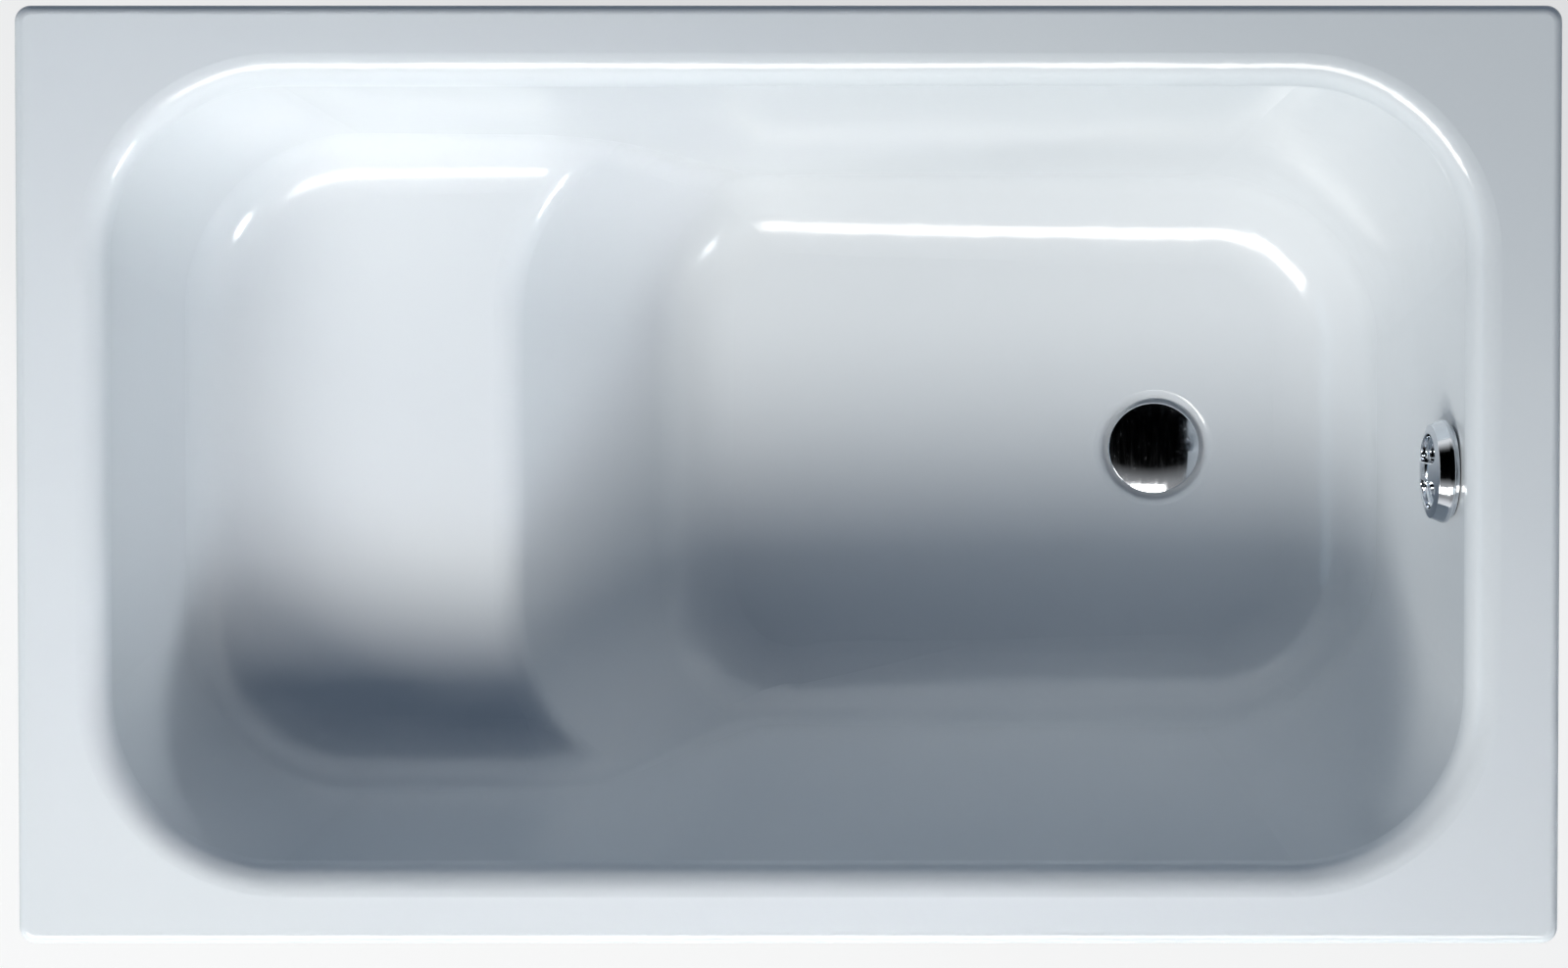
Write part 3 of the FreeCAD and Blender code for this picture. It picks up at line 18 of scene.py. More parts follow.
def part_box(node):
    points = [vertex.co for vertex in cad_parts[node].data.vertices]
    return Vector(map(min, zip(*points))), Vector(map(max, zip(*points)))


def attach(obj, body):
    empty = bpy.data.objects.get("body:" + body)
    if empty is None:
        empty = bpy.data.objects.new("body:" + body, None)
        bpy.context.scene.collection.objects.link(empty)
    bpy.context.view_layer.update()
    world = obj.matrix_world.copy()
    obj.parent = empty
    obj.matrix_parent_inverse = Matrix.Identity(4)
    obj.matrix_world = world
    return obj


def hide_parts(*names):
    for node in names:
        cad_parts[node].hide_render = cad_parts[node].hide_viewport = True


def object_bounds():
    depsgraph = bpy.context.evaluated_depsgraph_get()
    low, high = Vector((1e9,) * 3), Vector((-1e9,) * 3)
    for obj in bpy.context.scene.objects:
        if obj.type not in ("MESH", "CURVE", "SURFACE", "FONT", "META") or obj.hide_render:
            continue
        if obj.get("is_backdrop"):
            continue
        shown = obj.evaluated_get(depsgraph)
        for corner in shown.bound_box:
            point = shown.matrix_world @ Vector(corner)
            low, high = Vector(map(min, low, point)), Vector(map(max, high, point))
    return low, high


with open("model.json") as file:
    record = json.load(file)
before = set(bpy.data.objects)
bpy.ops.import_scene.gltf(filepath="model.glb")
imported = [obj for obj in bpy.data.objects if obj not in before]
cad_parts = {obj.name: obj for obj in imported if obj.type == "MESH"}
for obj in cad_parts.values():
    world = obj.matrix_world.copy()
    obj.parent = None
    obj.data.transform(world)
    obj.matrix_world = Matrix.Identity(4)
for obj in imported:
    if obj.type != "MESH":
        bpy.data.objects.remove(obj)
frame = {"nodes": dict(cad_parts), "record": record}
nodes = frame["nodes"]
cad_low, cad_high = [Vector(corner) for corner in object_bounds()]
scene = bpy.context.scene
print("nodes:", len(nodes), "size:", [round(side, 4) for side in cad_high - cad_low])

# %% [markdown]
# ## Camera
# The photograph looks straight down into the tub with a long lens: the rim is an almost perfect rectangle,
# and the wall at the bottom of the picture shows a little more than the one opposite. So the camera hangs
# six metres above the rim, a little towards +Y, and is tilted back. A camera that looks straight down has
# no natural "up", and tracking it to a target could roll it. It is therefore built from its three axes,
# with the top of the picture at +Y.

# %% Camera
CAMERA_PLACE = Vector((0.0, 0.338, 6.6))
CAMERA_AIM = Vector((-0.0033, -0.0058, 0.6))
LENS = 185.3  # millimetres, like the sensor
SENSOR_WIDTH = 36.0
PICTURE_TOP = Vector((0.0, 1.0, 0.0))

camera_data = bpy.data.cameras.new("camera")
camera_data.sensor_width = SENSOR_WIDTH
camera_data.lens = LENS
camera = bpy.data.objects.new("camera", camera_data)
scene.collection.objects.link(camera)
back = (CAMERA_PLACE - CAMERA_AIM).normalized()
right = PICTURE_TOP.cross(back).normalized()
axes = Matrix((right, back.cross(right), back)).transposed()
camera.matrix_world = Matrix.Translation(CAMERA_PLACE) @ axes.to_4x4()
scene.camera = camera
print("camera distance:", round((CAMERA_PLACE - CAMERA_AIM).length, 3))

# %% [markdown]
# ## Tools for the finishes
# Each finish is one Principled shader with textures in front of it. The small functions below add one node
# each and return the socket that carries its result, so that a finish reads like a few lines of arithmetic
# instead of a page of node settings.

# %% Tools: nodes and numbers


def new_finish(name, metallic=0.0):
    """A material with a plain shader, ready for its textures."""
    material = bpy.data.materials.new(name)
    material.use_nodes = True
    shader = material.node_tree.nodes["Principled BSDF"]
    shader.inputs["Metallic"].default_value = metallic
    return material, material.node_tree, shader


def add(tree, kind, **settings):
    """A node; each setting goes to the input of that name or else to the node itself."""
    node = tree.nodes.new(kind)
    for key, value in settings.items():
        if key in node.inputs:
            node.inputs[key].default_value = value
        else:
            setattr(node, key, value)
    return node


def figure(tree, operation, *values):
    """A calculation with numbers or the outputs of other nodes."""
    node = add(tree, "ShaderNodeMath", operation=operation)
    for socket, value in zip(node.inputs, values):
        if isinstance(value, (int, float)):
            socket.default_value = value
        else:
            tree.links.new(value, socket)
    return node.outputs["Value"]


def spread(tree, field, low, high, start=0.3, end=0.7):
    """Maps the range from start to end of a field, for a noise its usual one, to that from low to high."""
    ramp = add(tree, "ShaderNodeMapRange")
    # sockets 1 to 4 are From Min, From Max, To Min and To Max
    for socket, value in zip(ramp.inputs[1:5], (start, end, low, high)):
        socket.default_value = value
    tree.links.new(field, ramp.inputs["Value"])
    return ramp.outputs["Result"]


print("node tools:", [tool.__name__ for tool in (new_finish, add, figure, spread)])

# %% [markdown]
# Image textures would need unwrapped meshes. Here every texture reads the object coordinates instead, which
# are metres on every piece: a texture's scale counts its features in a metre, so 200 gives features of about
# 5 mm wherever it is used. Worn edges come from the Bevel node. It returns the direction that the surface
# would have if its edges were rounded, and where that differs from the true direction there is an edge.

# %% Tools: textures
EVEN = (1.0, 1.0, 1.0)
BEVEL_SAMPLES = 4
EDGE_TURN = (0.86, 0.995)  # cosines of the turns at which an edge is full and at which it ends
SOFT_EDGE = 0.0003  # how far the edges of small metal and rubber pieces are rounded, in metres


def metres(tree, stretch=EVEN):
    """Object coordinates; a small stretch value draws a texture out along that axis."""
    mapping = add(tree, "ShaderNodeMapping", Scale=stretch)
    tree.links.new(add(tree, "ShaderNodeTexCoord").outputs["Object"], mapping.inputs["Vector"])
    return mapping.outputs["Vector"]


def noise(tree, scale, detail=2.0, stretch=EVEN):
    field = add(tree, "ShaderNodeTexNoise", Scale=scale, Detail=detail)
    tree.links.new(metres(tree, stretch), field.inputs["Vector"])
    return field.outputs["Fac"]


def bands(tree, scale, direction, waver=0.0):
    """Even stripes across the given axis."""
    field = add(tree, "ShaderNodeTexWave", Scale=scale, Distortion=waver, bands_direction=direction)
    tree.links.new(metres(tree), field.inputs["Vector"])
    return field.outputs["Fac"]


def edges(tree, width):
    """1 along sharp edges, 0 elsewhere: the surface's direction against one rounded over the width."""
    rounded = add(tree, "ShaderNodeBevel", Radius=width, samples=BEVEL_SAMPLES)
    turn = add(tree, "ShaderNodeVectorMath", operation="DOT_PRODUCT")
    tree.links.new(rounded.outputs["Normal"], turn.inputs[0])
    tree.links.new(add(tree, "ShaderNodeNewGeometry").outputs["Normal"], turn.inputs[1])
    return spread(tree, turn.outputs["Value"], 1.0, 0.0, *EDGE_TURN)


print("texture tools:", [tool.__name__ for tool in (metres, noise, bands, edges)])

# %% [markdown]
# The last four tools lead a texture into the shader, as colour, as roughness or as relief. Relief as a bump
# bends only the shading, which is right for grain that is finer than a pixel; whatever shows in the outline
# of a piece is made as geometry further down.

# %% Tools: what a texture changes


def mixed(tree, share, first, second):
    """A colour between two others, each a colour or the output of another node."""
    mix = add(tree, "ShaderNodeMix", data_type="RGBA")
    tree.links.new(share, mix.inputs["Factor"])
    # the node has its sockets once for each type of data; inputs 6 and 7 and output 2 are for colours
    for socket, value in ((mix.inputs[6], first), (mix.inputs[7], second)):
        if isinstance(value, tuple):
            socket.default_value = (*value, 1.0)
        else:
            tree.links.new(value, socket)
    return mix.outputs[2]


def paint(tree, shader, color):
    tree.links.new(color, shader.inputs["Base Color"])


def dull(tree, shader, roughness):
    tree.links.new(roughness, shader.inputs["Roughness"])


def emboss(tree, shader, height, depth, rounding=0.0):
    """Relief of the given depth in metres; rounding softens the piece's edges by that radius."""
    bump = add(tree, "ShaderNodeBump", Strength=1.0, Distance=depth)
    tree.links.new(height, bump.inputs["Height"])
    if rounding:
        soft = add(tree, "ShaderNodeBevel", Radius=rounding, samples=BEVEL_SAMPLES)
        tree.links.new(soft.outputs["Normal"], bump.inputs["Normal"])
    tree.links.new(bump.outputs["Normal"], shader.inputs["Normal"])


print("shader tools:", [tool.__name__ for tool in (mixed, paint, dull, emboss)])

# %% [markdown]
# ## Enamel
# A steel tub is dipped in a dark ground coat and fired, then the white enamel is sprayed on from above and
# fired again. So the inside, the rim and the outside of the skirt are glassy white, with the faint waves
# that enamellers call orange peel, and the underside stays dark blue-grey, with specks of white where the
# spray drifted under the rim. Two meshes could carry the two coats, but the sheet is one piece. The finish
# chooses the coat by the direction of the surface: what faces up is white, and so is the skirt's outside.

# %% Enamel: where the white coat lies
FULL_UPWARD = 0.04  # steepness at which the white coat is full, as a sine
SKIRT_ZONE = 0.02  # the skirt lies this near the outline of the rim, in metres
OUTWARD = 0.1  # least product of place and direction on a surface that faces outwards


def sprayed_side(tree):
    """1 where the white enamel lies, 0 on the ground coat."""
    coordinates = add(tree, "ShaderNodeTexCoord")
    facing = add(tree, "ShaderNodeSeparateXYZ")
    place = add(tree, "ShaderNodeSeparateXYZ")
    tree.links.new(coordinates.outputs["Normal"], facing.inputs["Vector"])
    tree.links.new(coordinates.outputs["Object"], place.inputs["Vector"])
    upward = spread(tree, facing.outputs["Z"], 0.0, 1.0, 0.0, FULL_UPWARD)
    beyond_end = figure(tree, "SUBTRACT", figure(tree, "ABSOLUTE", place.outputs["X"]), cad_high.x)
    beyond_side = figure(tree, "SUBTRACT", figure(tree, "ABSOLUTE", place.outputs["Y"]), cad_high.y)
    at_skirt = figure(tree, "GREATER_THAN", figure(tree, "MAXIMUM", beyond_end, beyond_side), -SKIRT_ZONE)
    outward = figure(tree, "ADD",
                     figure(tree, "MULTIPLY", facing.outputs["X"], place.outputs["X"]),
                     figure(tree, "MULTIPLY", facing.outputs["Y"], place.outputs["Y"]))
    skirt = figure(tree, "MULTIPLY", at_skirt, figure(tree, "GREATER_THAN", outward, OUTWARD))
    return figure(tree, "MAXIMUM", upward, skirt)


print("skirt: within", SKIRT_ZONE, "m of the outline")

# %% [markdown]
# The white coat is not one flat colour: it is thinner in broad clouds, and its gloss changes as slowly. The
# ground coat is duller and worn, and the drifted spray lies on it as fine specks. All of this is noise of
# different sizes, and only the orange peel becomes relief.

# %% Enamel: the two coats
WHITE_COAT = (0.690, 0.718, 0.742)
WHITE_COAT_THIN = (0.674, 0.704, 0.732)
WHITE_CLOUDS = 5.0
WHITE_ROUGHNESS = (0.12, 0.17)
ROUGHNESS_CLOUDS = 9.0
ORANGE_PEEL = 140.0
PEEL_DEPTH = 0.00003
GROUND_COAT = (0.022, 0.027, 0.036)
GROUND_COAT_WORN = (0.050, 0.056, 0.068)
GROUND_CLOUDS = 30.0
GROUND_GRAIN = 120.0
GROUND_DULLNESS = (0.12, 0.25)  # roughness that the ground coat has beyond the white one
DRIFT_SPECKS = 700.0
DRIFT_LEVELS = (0.64, 0.70)  # levels of the noise at which a speck begins and is full
DRIFT_SHARE = 0.45


def enamel_finish():
    material, tree, shader = new_finish("gloss_enamel")
    white_side = sprayed_side(tree)
    clouds = spread(tree, noise(tree, WHITE_CLOUDS, detail=4.0), 0.0, 1.0)
    white = mixed(tree, clouds, WHITE_COAT, WHITE_COAT_THIN)
    wear = spread(tree, noise(tree, GROUND_CLOUDS, detail=6.0), 0.0, 1.0)
    ground = mixed(tree, wear, GROUND_COAT, GROUND_COAT_WORN)
    drift = spread(tree, noise(tree, DRIFT_SPECKS, detail=1.0), 0.0, DRIFT_SHARE, *DRIFT_LEVELS)
    ground = mixed(tree, drift, ground, WHITE_COAT)
    paint(tree, shader, mixed(tree, white_side, ground, white))
    gloss = spread(tree, noise(tree, ROUGHNESS_CLOUDS, detail=3.0), *WHITE_ROUGHNESS)
    dullness = spread(tree, noise(tree, GROUND_GRAIN, detail=3.0), *GROUND_DULLNESS)
    under = figure(tree, "MULTIPLY", dullness, figure(tree, "SUBTRACT", 1.0, white_side))
    dull(tree, shader, figure(tree, "ADD", gloss, under))
    emboss(tree, shader, noise(tree, ORANGE_PEEL, detail=1.0), PEEL_DEPTH)
    return material


finishes = {"enamel": enamel_finish()}
print("finish:", finishes["enamel"].name)

# %% [markdown]
# ## Chrome
# The plug, its flange, the overflow's plate and its knob are chromed brass. Clean chrome is a mirror and
# shows the room: the dark ceiling as black, the soft boxes as white. Cleaning leaves fine scratches and
# water leaves dull spots, so the roughness carries both. The plug is scrubbed and trodden on the most, so it
# has a finish of its own, with longer scratches and a little less gloss.

# %% Chrome
CHROME = (0.62, 0.65, 0.69)
CHROME_EDGE = (0.80, 0.82, 0.84)
BRIGHT_EDGE = 0.0006
SCRATCHES = 320.0
SCRATCH_DEPTH = 0.0000015
WATER_SPOTS = 260.0
SPOT_LEVELS = (0.64, 0.72)
SPOT_DULLNESS = 0.08
POLISHED = (0.05, 0.11)
POLISHED_STREAK = (1.0, 0.2, 1.0)
SCRUBBED = (0.06, 0.13)
SCRUBBED_STREAK = (1.0, 0.15, 1.0)


def chrome_finish(name, roughness, streak):
    material, tree, shader = new_finish(name, metallic=1.0)
    paint(tree, shader, mixed(tree, edges(tree, BRIGHT_EDGE), CHROME, CHROME_EDGE))
    scratches = noise(tree, SCRATCHES, detail=3.0, stretch=streak)
    spots = spread(tree, noise(tree, WATER_SPOTS), 0.0, SPOT_DULLNESS, *SPOT_LEVELS)
    dull(tree, shader, figure(tree, "ADD", spread(tree, scratches, *roughness), spots))
    emboss(tree, shader, scratches, SCRATCH_DEPTH, SOFT_EDGE)
    return material


finishes["chrome"] = chrome_finish("polished_chrome", POLISHED, POLISHED_STREAK)
plug_chrome = chrome_finish("scrubbed_plug_chrome", SCRUBBED, SCRUBBED_STREAK)
print("finishes:", finishes["chrome"].name, plug_chrome.name)

# %% [markdown]
# ## Galvanised sheet and zinc
# The rails, brackets and posts are cut from hot-dip galvanised steel. Its zinc freezes into flat crystals
# a centimetre wide, the spangle, and each of them reflects a little differently: a Voronoi texture has just
# such cells. Cut edges are rubbed bright, which the edge tool finds without any painting by hand.

# %% Galvanised sheet
GALVANISED_DARK = (0.36, 0.38, 0.40)
GALVANISED_LIGHT = (0.60, 0.62, 0.64)
RUBBED_ZINC = (0.74, 0.75, 0.76)
SPANGLE = 95.0
SPANGLE_ROUGHNESS = (0.30, 0.52)
CUT_EDGE = 0.001
DIPPED_EDGE = 0.0004
DIPPED_GRAIN = 420.0
DIPPED_DEPTH = 0.00003


def galvanised_finish():
    material, tree, shader = new_finish("spangled_zinc_sheet", metallic=1.0)
    spangle = add(tree, "ShaderNodeTexVoronoi", Scale=SPANGLE)
    tree.links.new(metres(tree), spangle.inputs["Vector"])
    crystal = add(tree, "ShaderNodeSeparateColor")
    tree.links.new(spangle.outputs["Color"], crystal.inputs["Color"])
    sheet = mixed(tree, crystal.outputs["Red"], GALVANISED_DARK, GALVANISED_LIGHT)
    paint(tree, shader, mixed(tree, edges(tree, CUT_EDGE), sheet, RUBBED_ZINC))
    dull(tree, shader, spread(tree, crystal.outputs["Green"], *SPANGLE_ROUGHNESS, 0.0, 1.0))
    emboss(tree, shader, noise(tree, DIPPED_GRAIN, detail=3.0), DIPPED_DEPTH, DIPPED_EDGE)
    return material


finishes["galvanised"] = galvanised_finish()
print("finish:", finishes["galvanised"].name)

# %% [markdown]
# Screws, nuts and the earthing tab get their zinc in a bath, by a current. That coat is thin and even, has
# no crystals and is a little blue, with a yellow tint here and there. Broad noise gives the tint, fine noise
# the gloss and the grain.

# %% Plated zinc
PLATED_ZINC = (0.52, 0.54, 0.57)
PLATED_ZINC_TINT = (0.58, 0.57, 0.53)
TINT_CLOUDS = 160.0
PLATED_EDGE = 0.0005
PLATED_GLOSS = 500.0
PLATED_ROUGHNESS = (0.22, 0.38)
PLATED_GRAIN = 900.0
PLATED_DEPTH = 0.00001


def plated_finish():
    material, tree, shader = new_finish("plated_zinc", metallic=1.0)
    clouds = spread(tree, noise(tree, TINT_CLOUDS), 0.0, 1.0)
    plating = mixed(tree, clouds, PLATED_ZINC, PLATED_ZINC_TINT)
    paint(tree, shader, mixed(tree, edges(tree, PLATED_EDGE), plating, RUBBED_ZINC))
    dull(tree, shader, spread(tree, noise(tree, PLATED_GLOSS, detail=3.0), *PLATED_ROUGHNESS))
    emboss(tree, shader, noise(tree, PLATED_GRAIN), PLATED_DEPTH, SOFT_EDGE)
    return material


finishes["zinc"] = plated_finish()
print("finish:", finishes["zinc"].name)

# %% [markdown]
# ## Brass
# The plug's stem, its nut and the knob's spindle are turned on a lathe, which leaves fine rings round the
# axis. A wave texture across the axis draws them. The tarnish is a broad noise between yellow and brown.

# %% Brass
BRASS = (0.66, 0.50, 0.22)
BRASS_TARNISHED = (0.40, 0.28, 0.12)
TARNISH_CLOUDS = 130.0
TARNISH_SHARE = 0.8
LATHE_RINGS = 900.0
LATHE_WAVER = 0.6
LATHE_ROUGHNESS = (0.18, 0.34)
LATHE_DEPTH = 0.00002


def brass_finish(name, axis):
    material, tree, shader = new_finish(name, metallic=1.0)
    tarnish = spread(tree, noise(tree, TARNISH_CLOUDS, detail=4.0), 0.0, TARNISH_SHARE)
    paint(tree, shader, mixed(tree, tarnish, BRASS, BRASS_TARNISHED))
    rings = bands(tree, LATHE_RINGS, axis, LATHE_WAVER)
    dull(tree, shader, spread(tree, rings, *LATHE_ROUGHNESS, 0.0, 1.0))
    emboss(tree, shader, rings, LATHE_DEPTH, SOFT_EDGE)
    return material


finishes["brass"] = brass_finish("turned_stem_brass", "Z")
spindle_brass = brass_finish("turned_spindle_brass", "X")
print("finishes:", finishes["brass"].name, spindle_brass.name)

# %% [markdown]
# ## Rubber and bitumen
# Gaskets and pads are black rubber, matt and a little porous, and with age a grey bloom comes to its surface
# in clouds. A plain dark shader would pass for paint; the bloom and the pores make it rubber.

# %% Rubber
RUBBER = (0.016, 0.016, 0.017)
RUBBER_BLOOM = (0.045, 0.045, 0.047)
BLOOM_CLOUDS = 90.0
BLOOM_SHARE = 0.7
RUBBER_GRAIN = 300.0
RUBBER_ROUGHNESS = (0.5, 0.75)
RUBBER_PORES = 1500.0
PORE_DEPTH = 0.00004


def rubber_finish():
    material, tree, shader = new_finish("gasket_rubber")
    bloom = spread(tree, noise(tree, BLOOM_CLOUDS, detail=5.0), 0.0, BLOOM_SHARE)
    paint(tree, shader, mixed(tree, bloom, RUBBER, RUBBER_BLOOM))
    dull(tree, shader, spread(tree, noise(tree, RUBBER_GRAIN), *RUBBER_ROUGHNESS))
    emboss(tree, shader, noise(tree, RUBBER_PORES), PORE_DEPTH, SOFT_EDGE)
    return material


finishes["rubber"] = rubber_finish()
print("finish:", finishes["rubber"].name)

# %% [markdown]
# The sound pads glued under the sheet are bitumen felt: matt, almost black, and rolled with a pattern of
# lozenges so that they bend round the shell. Two sets of bands that cross make the lozenges; as relief they
# need no more geometry than the pad itself. Dust greys the raised parts, in clouds.

# %% Bitumen
BITUMEN = (0.014, 0.013, 0.012)
BITUMEN_DUST = (0.050, 0.048, 0.045)
LOZENGES = 32.0
LOZENGE_DEPTH = 0.0005
DUST_CLOUDS = 60.0
DUST_SHARE = (0.2, 1.0)
FELT_FLECKS = 400.0
FELT_ROUGHNESS = (0.65, 0.9)
FELT_GRAIN = 900.0
FELT_SHARE = 0.3  # of the lozenges' depth


def bitumen_finish():
    material, tree, shader = new_finish("rolled_bitumen_felt")
    lozenges = figure(tree, "MULTIPLY", bands(tree, LOZENGES, "X"), bands(tree, LOZENGES, "DIAGONAL"))
    clouds = spread(tree, noise(tree, DUST_CLOUDS, detail=6.0), *DUST_SHARE)
    dust = figure(tree, "MULTIPLY", lozenges, clouds)
    paint(tree, shader, mixed(tree, dust, BITUMEN, BITUMEN_DUST))
    dull(tree, shader, spread(tree, noise(tree, FELT_FLECKS), *FELT_ROUGHNESS))
    grain = figure(tree, "MULTIPLY", noise(tree, FELT_GRAIN, detail=4.0), FELT_SHARE)
    emboss(tree, shader, figure(tree, "ADD", lozenges, grain), LOZENGE_DEPTH)
    return material


finishes["bitumen"] = bitumen_finish()
print("finish:", finishes["bitumen"].name)

# %% [markdown]
# ## Plastics
# The trap, the pipes and the housings are moulded polypropylene, pale and satin; the nuts that join them are
# grey, the feet black, the cable's sleeve smooth and dark. Moulded plastic is never one colour: pigment
# flows in it, handling rubs its edges lighter, and the tool's spark-eroded surface leaves a fine grain.
# One function makes them all, because they differ only in numbers.

# %% Plastics
FLOW = 24.0
FLOW_STRETCH = (1.0, 1.0, 0.4)
RUBBED_EDGE = 0.0008
MOULDED_EDGE = 0.0004
SATIN_CLOUDS = 70.0
SATIN_BELOW = 0.07
SATIN_ABOVE = 0.10
SPARK_GRAIN = 1200.0
PLASTICS = {  # name, body, flow, rubbed edges, roughness, depth of the grain
    "pipe_plastic": (
        "pale_pipe_plastic", (0.66, 0.66, 0.63), (0.60, 0.60, 0.58), (0.74, 0.74, 0.72),
        0.38, 0.00003),
    "nut_plastic": (
        "grey_nut_plastic", (0.085, 0.095, 0.105), (0.070, 0.078, 0.088), (0.16, 0.17, 0.18),
        0.42, 0.00004),
    "foot_plastic": (
        "black_foot_plastic", (0.018, 0.018, 0.020), (0.026, 0.026, 0.027), (0.060, 0.060, 0.062),
        0.55, 0.00006),
    "lever_plastic": (
        "lever_plastic", (0.030, 0.033, 0.040), (0.022, 0.025, 0.030), (0.080, 0.085, 0.095),
        0.30, 0.00002),
    "cable_sleeve": (
        "cable_sleeve", (0.014, 0.014, 0.017), (0.020, 0.020, 0.023), (0.050, 0.050, 0.052),
        0.36, 0.00002),
}


def moulded_finish(name, color, flow, rubbed, roughness, grain):
    """Plastic of two mingled shades with rubbed edges; grain is the depth of its texture in metres."""
    material, tree, shader = new_finish(name)
    streams = spread(tree, noise(tree, FLOW, detail=4.0, stretch=FLOW_STRETCH), 0.0, 1.0)
    body = mixed(tree, streams, color, flow)
    paint(tree, shader, mixed(tree, edges(tree, RUBBED_EDGE), body, rubbed))
    satin = noise(tree, SATIN_CLOUDS, detail=4.0)
    dull(tree, shader, spread(tree, satin, roughness - SATIN_BELOW, roughness + SATIN_ABOVE))
    emboss(tree, shader, noise(tree, SPARK_GRAIN, detail=1.0), grain, MOULDED_EDGE)
    return material


for slot, numbers in PLASTICS.items():
    finishes[slot] = moulded_finish(*numbers)
print("finishes in all:", len(finishes))

# %% [markdown]
# ## Dressing the CAD pieces
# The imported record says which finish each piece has. The meshes stay as they came; only the material in
# their slot is exchanged. The plug and the knob's spindle take the second version of their finish.

# %% Dressing the CAD pieces
OWN_FINISH = {"plug_cover": plug_chrome, "knob_spindle": spindle_brass}

for row in frame["record"]["subparts"]:
    piece_mesh = nodes[row["node"]].data
    piece_mesh.materials.clear()
    piece_mesh.materials.append(OWN_FINISH.get(row["node"], finishes[row["material_slot"]]))

# %% [markdown]
# ## Screws, nuts and threaded feet
# In the CAD model a thread is a plain cylinder and a nut a plain hexagon. Real ones show the turns of the
# thread and the round chamfer that cuts the corners of a hexagon. Both are one kind of form: a stack of
# rings whose radius depends on the angle and on the height. A thread is a V that climbs one pitch each
# turn, and a chamfered hexagon is the smaller of a hexagon and a cone. Modifiers could make a thread too,
# but a ring stack needs only these two lines of arithmetic, and stays inside the CAD piece by itself.

# %% Ring stacks
SIDES = 48
THREAD_STEPS = 6  # rings in each turn of a thread
V_DEPTH = 0.54  # depth of a thread, as a share of its pitch
CHAMFER = math.tan(math.radians(30))
CHAMFER_STEPS = 4  # rings across a chamfer


def thread(radius, pitch, low, high):
    """Rings of a threaded rod; both ends are cut to a cone."""
    count = round((high - low) / pitch * THREAD_STEPS)
    rings = []
    for i in range(count + 1):
        height = low + (high - low) * i / count
        cone = radius - V_DEPTH * pitch + min(height - low, high - height)

        def radius_at(angle, height=height, cone=cone):
            turn = (height / pitch - angle / math.tau) % 1.0
            return min(radius - V_DEPTH * pitch * abs(2.0 * turn - 1.0), cone)

        rings.append((height, radius_at))
    return rings


def hexagon(across, low, high, cut_low=True):
    """Rings of a hexagon whose corners are cut by a cone, at both ends or only at the upper one."""
    drop = across / 2 * (1 / math.cos(math.pi / 6) - 1) * CHAMFER
    steps = [drop * i / CHAMFER_STEPS for i in range(CHAMFER_STEPS + 1)]
    heights = [low + step for step in steps] + [high - step for step in reversed(steps)]
    rings = []
    for height in heights:
        near_low = height - low if cut_low else drop
        cone = across / 2 + min(near_low, high - height) / CHAMFER

        def radius_at(angle, cone=cone):
            flat = across / 2 / math.cos(angle % (math.pi / 3) - math.pi / 6)
            return min(flat, cone)

        rings.append((height, radius_at))
    return rings


def bore(radius, low, high):
    """Rings of a plain hole, from its upper end down."""
    return [(high, lambda angle: radius), (low, lambda angle: radius)]


print("rings in a turn:", THREAD_STEPS, "sides:", SIDES)

# %% [markdown]
# A ring stack becomes a mesh by joining each ring to the next with quads. Four bolts or nuts that belong to
# one CAD piece become one object. It rides on the same body as that piece, gets the plated zinc finish and
# replaces it, so the CAD piece itself no longer shows.

# %% From rings to pieces
CREASE = math.radians(32)


def ring_mesh(name, rings, hollow=False):
    """Joins the rings with quads; a hollow form closes on itself, a solid one gets two caps."""
    form = bmesh.new()
    turns = [math.tau * i / SIDES for i in range(SIDES)]
    rows = []
    for height, radius_at in rings:
        rows.append([form.verts.new((radius_at(a) * math.cos(a), radius_at(a) * math.sin(a), height))
                     for a in turns])
    pairs = list(zip(rows, rows[1:]))
    if hollow:
        pairs.append((rows[-1], rows[0]))
    else:
        form.faces.new(rows[0][::-1])
        form.faces.new(rows[-1])
    for lower, upper in pairs:
        for i in range(SIDES):
            j = (i + 1) % SIDES
            form.faces.new((lower[i], lower[j], upper[j], upper[i]))
    bmesh.ops.recalc_face_normals(form, faces=form.faces)
    mesh = bpy.data.meshes.new(name)
    form.to_mesh(mesh)
    form.free()
    return mesh


def joined(name, *meshes):
    both = bmesh.new()
    for mesh in meshes:
        both.from_mesh(mesh)
    whole = bpy.data.meshes.new(name)
    both.to_mesh(whole)
    both.free()
    return whole


def fit(mesh, node, body, places):
    """One object with a copy of the mesh at every place; it stands for the CAD node."""
    copies = bmesh.new()
    for place in places:
        start = len(copies.verts)
        copies.from_mesh(mesh)
        copies.verts.ensure_lookup_table()
        bmesh.ops.transform(copies, matrix=place, verts=copies.verts[start:])
    whole = bpy.data.meshes.new(node + "_turned")
    copies.to_mesh(whole)
    copies.free()
    whole.shade_smooth()
    whole.set_sharp_from_angle(angle=CREASE)
    whole.materials.append(finishes["zinc"])
    piece = bpy.data.objects.new(node + "_turned", whole)
    scene.collection.objects.link(piece)
    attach(piece, body)
    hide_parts(node)
    return piece


print("crease:", round(math.degrees(CREASE)), "degrees")

# %% [markdown]
# The four feet stand on M10 rods with a hexagon to turn them by. Rod and hexagon are two closed forms in
# one mesh: the rod simply runs through the hexagon, as a welded collar does.

# %% Threaded feet
FOOT_THREAD = 0.005
FOOT_PITCH = 0.0015
COLLAR_ACROSS = 0.017
COLLAR_LOW = 0.022
COLLAR_HIGH = 0.030

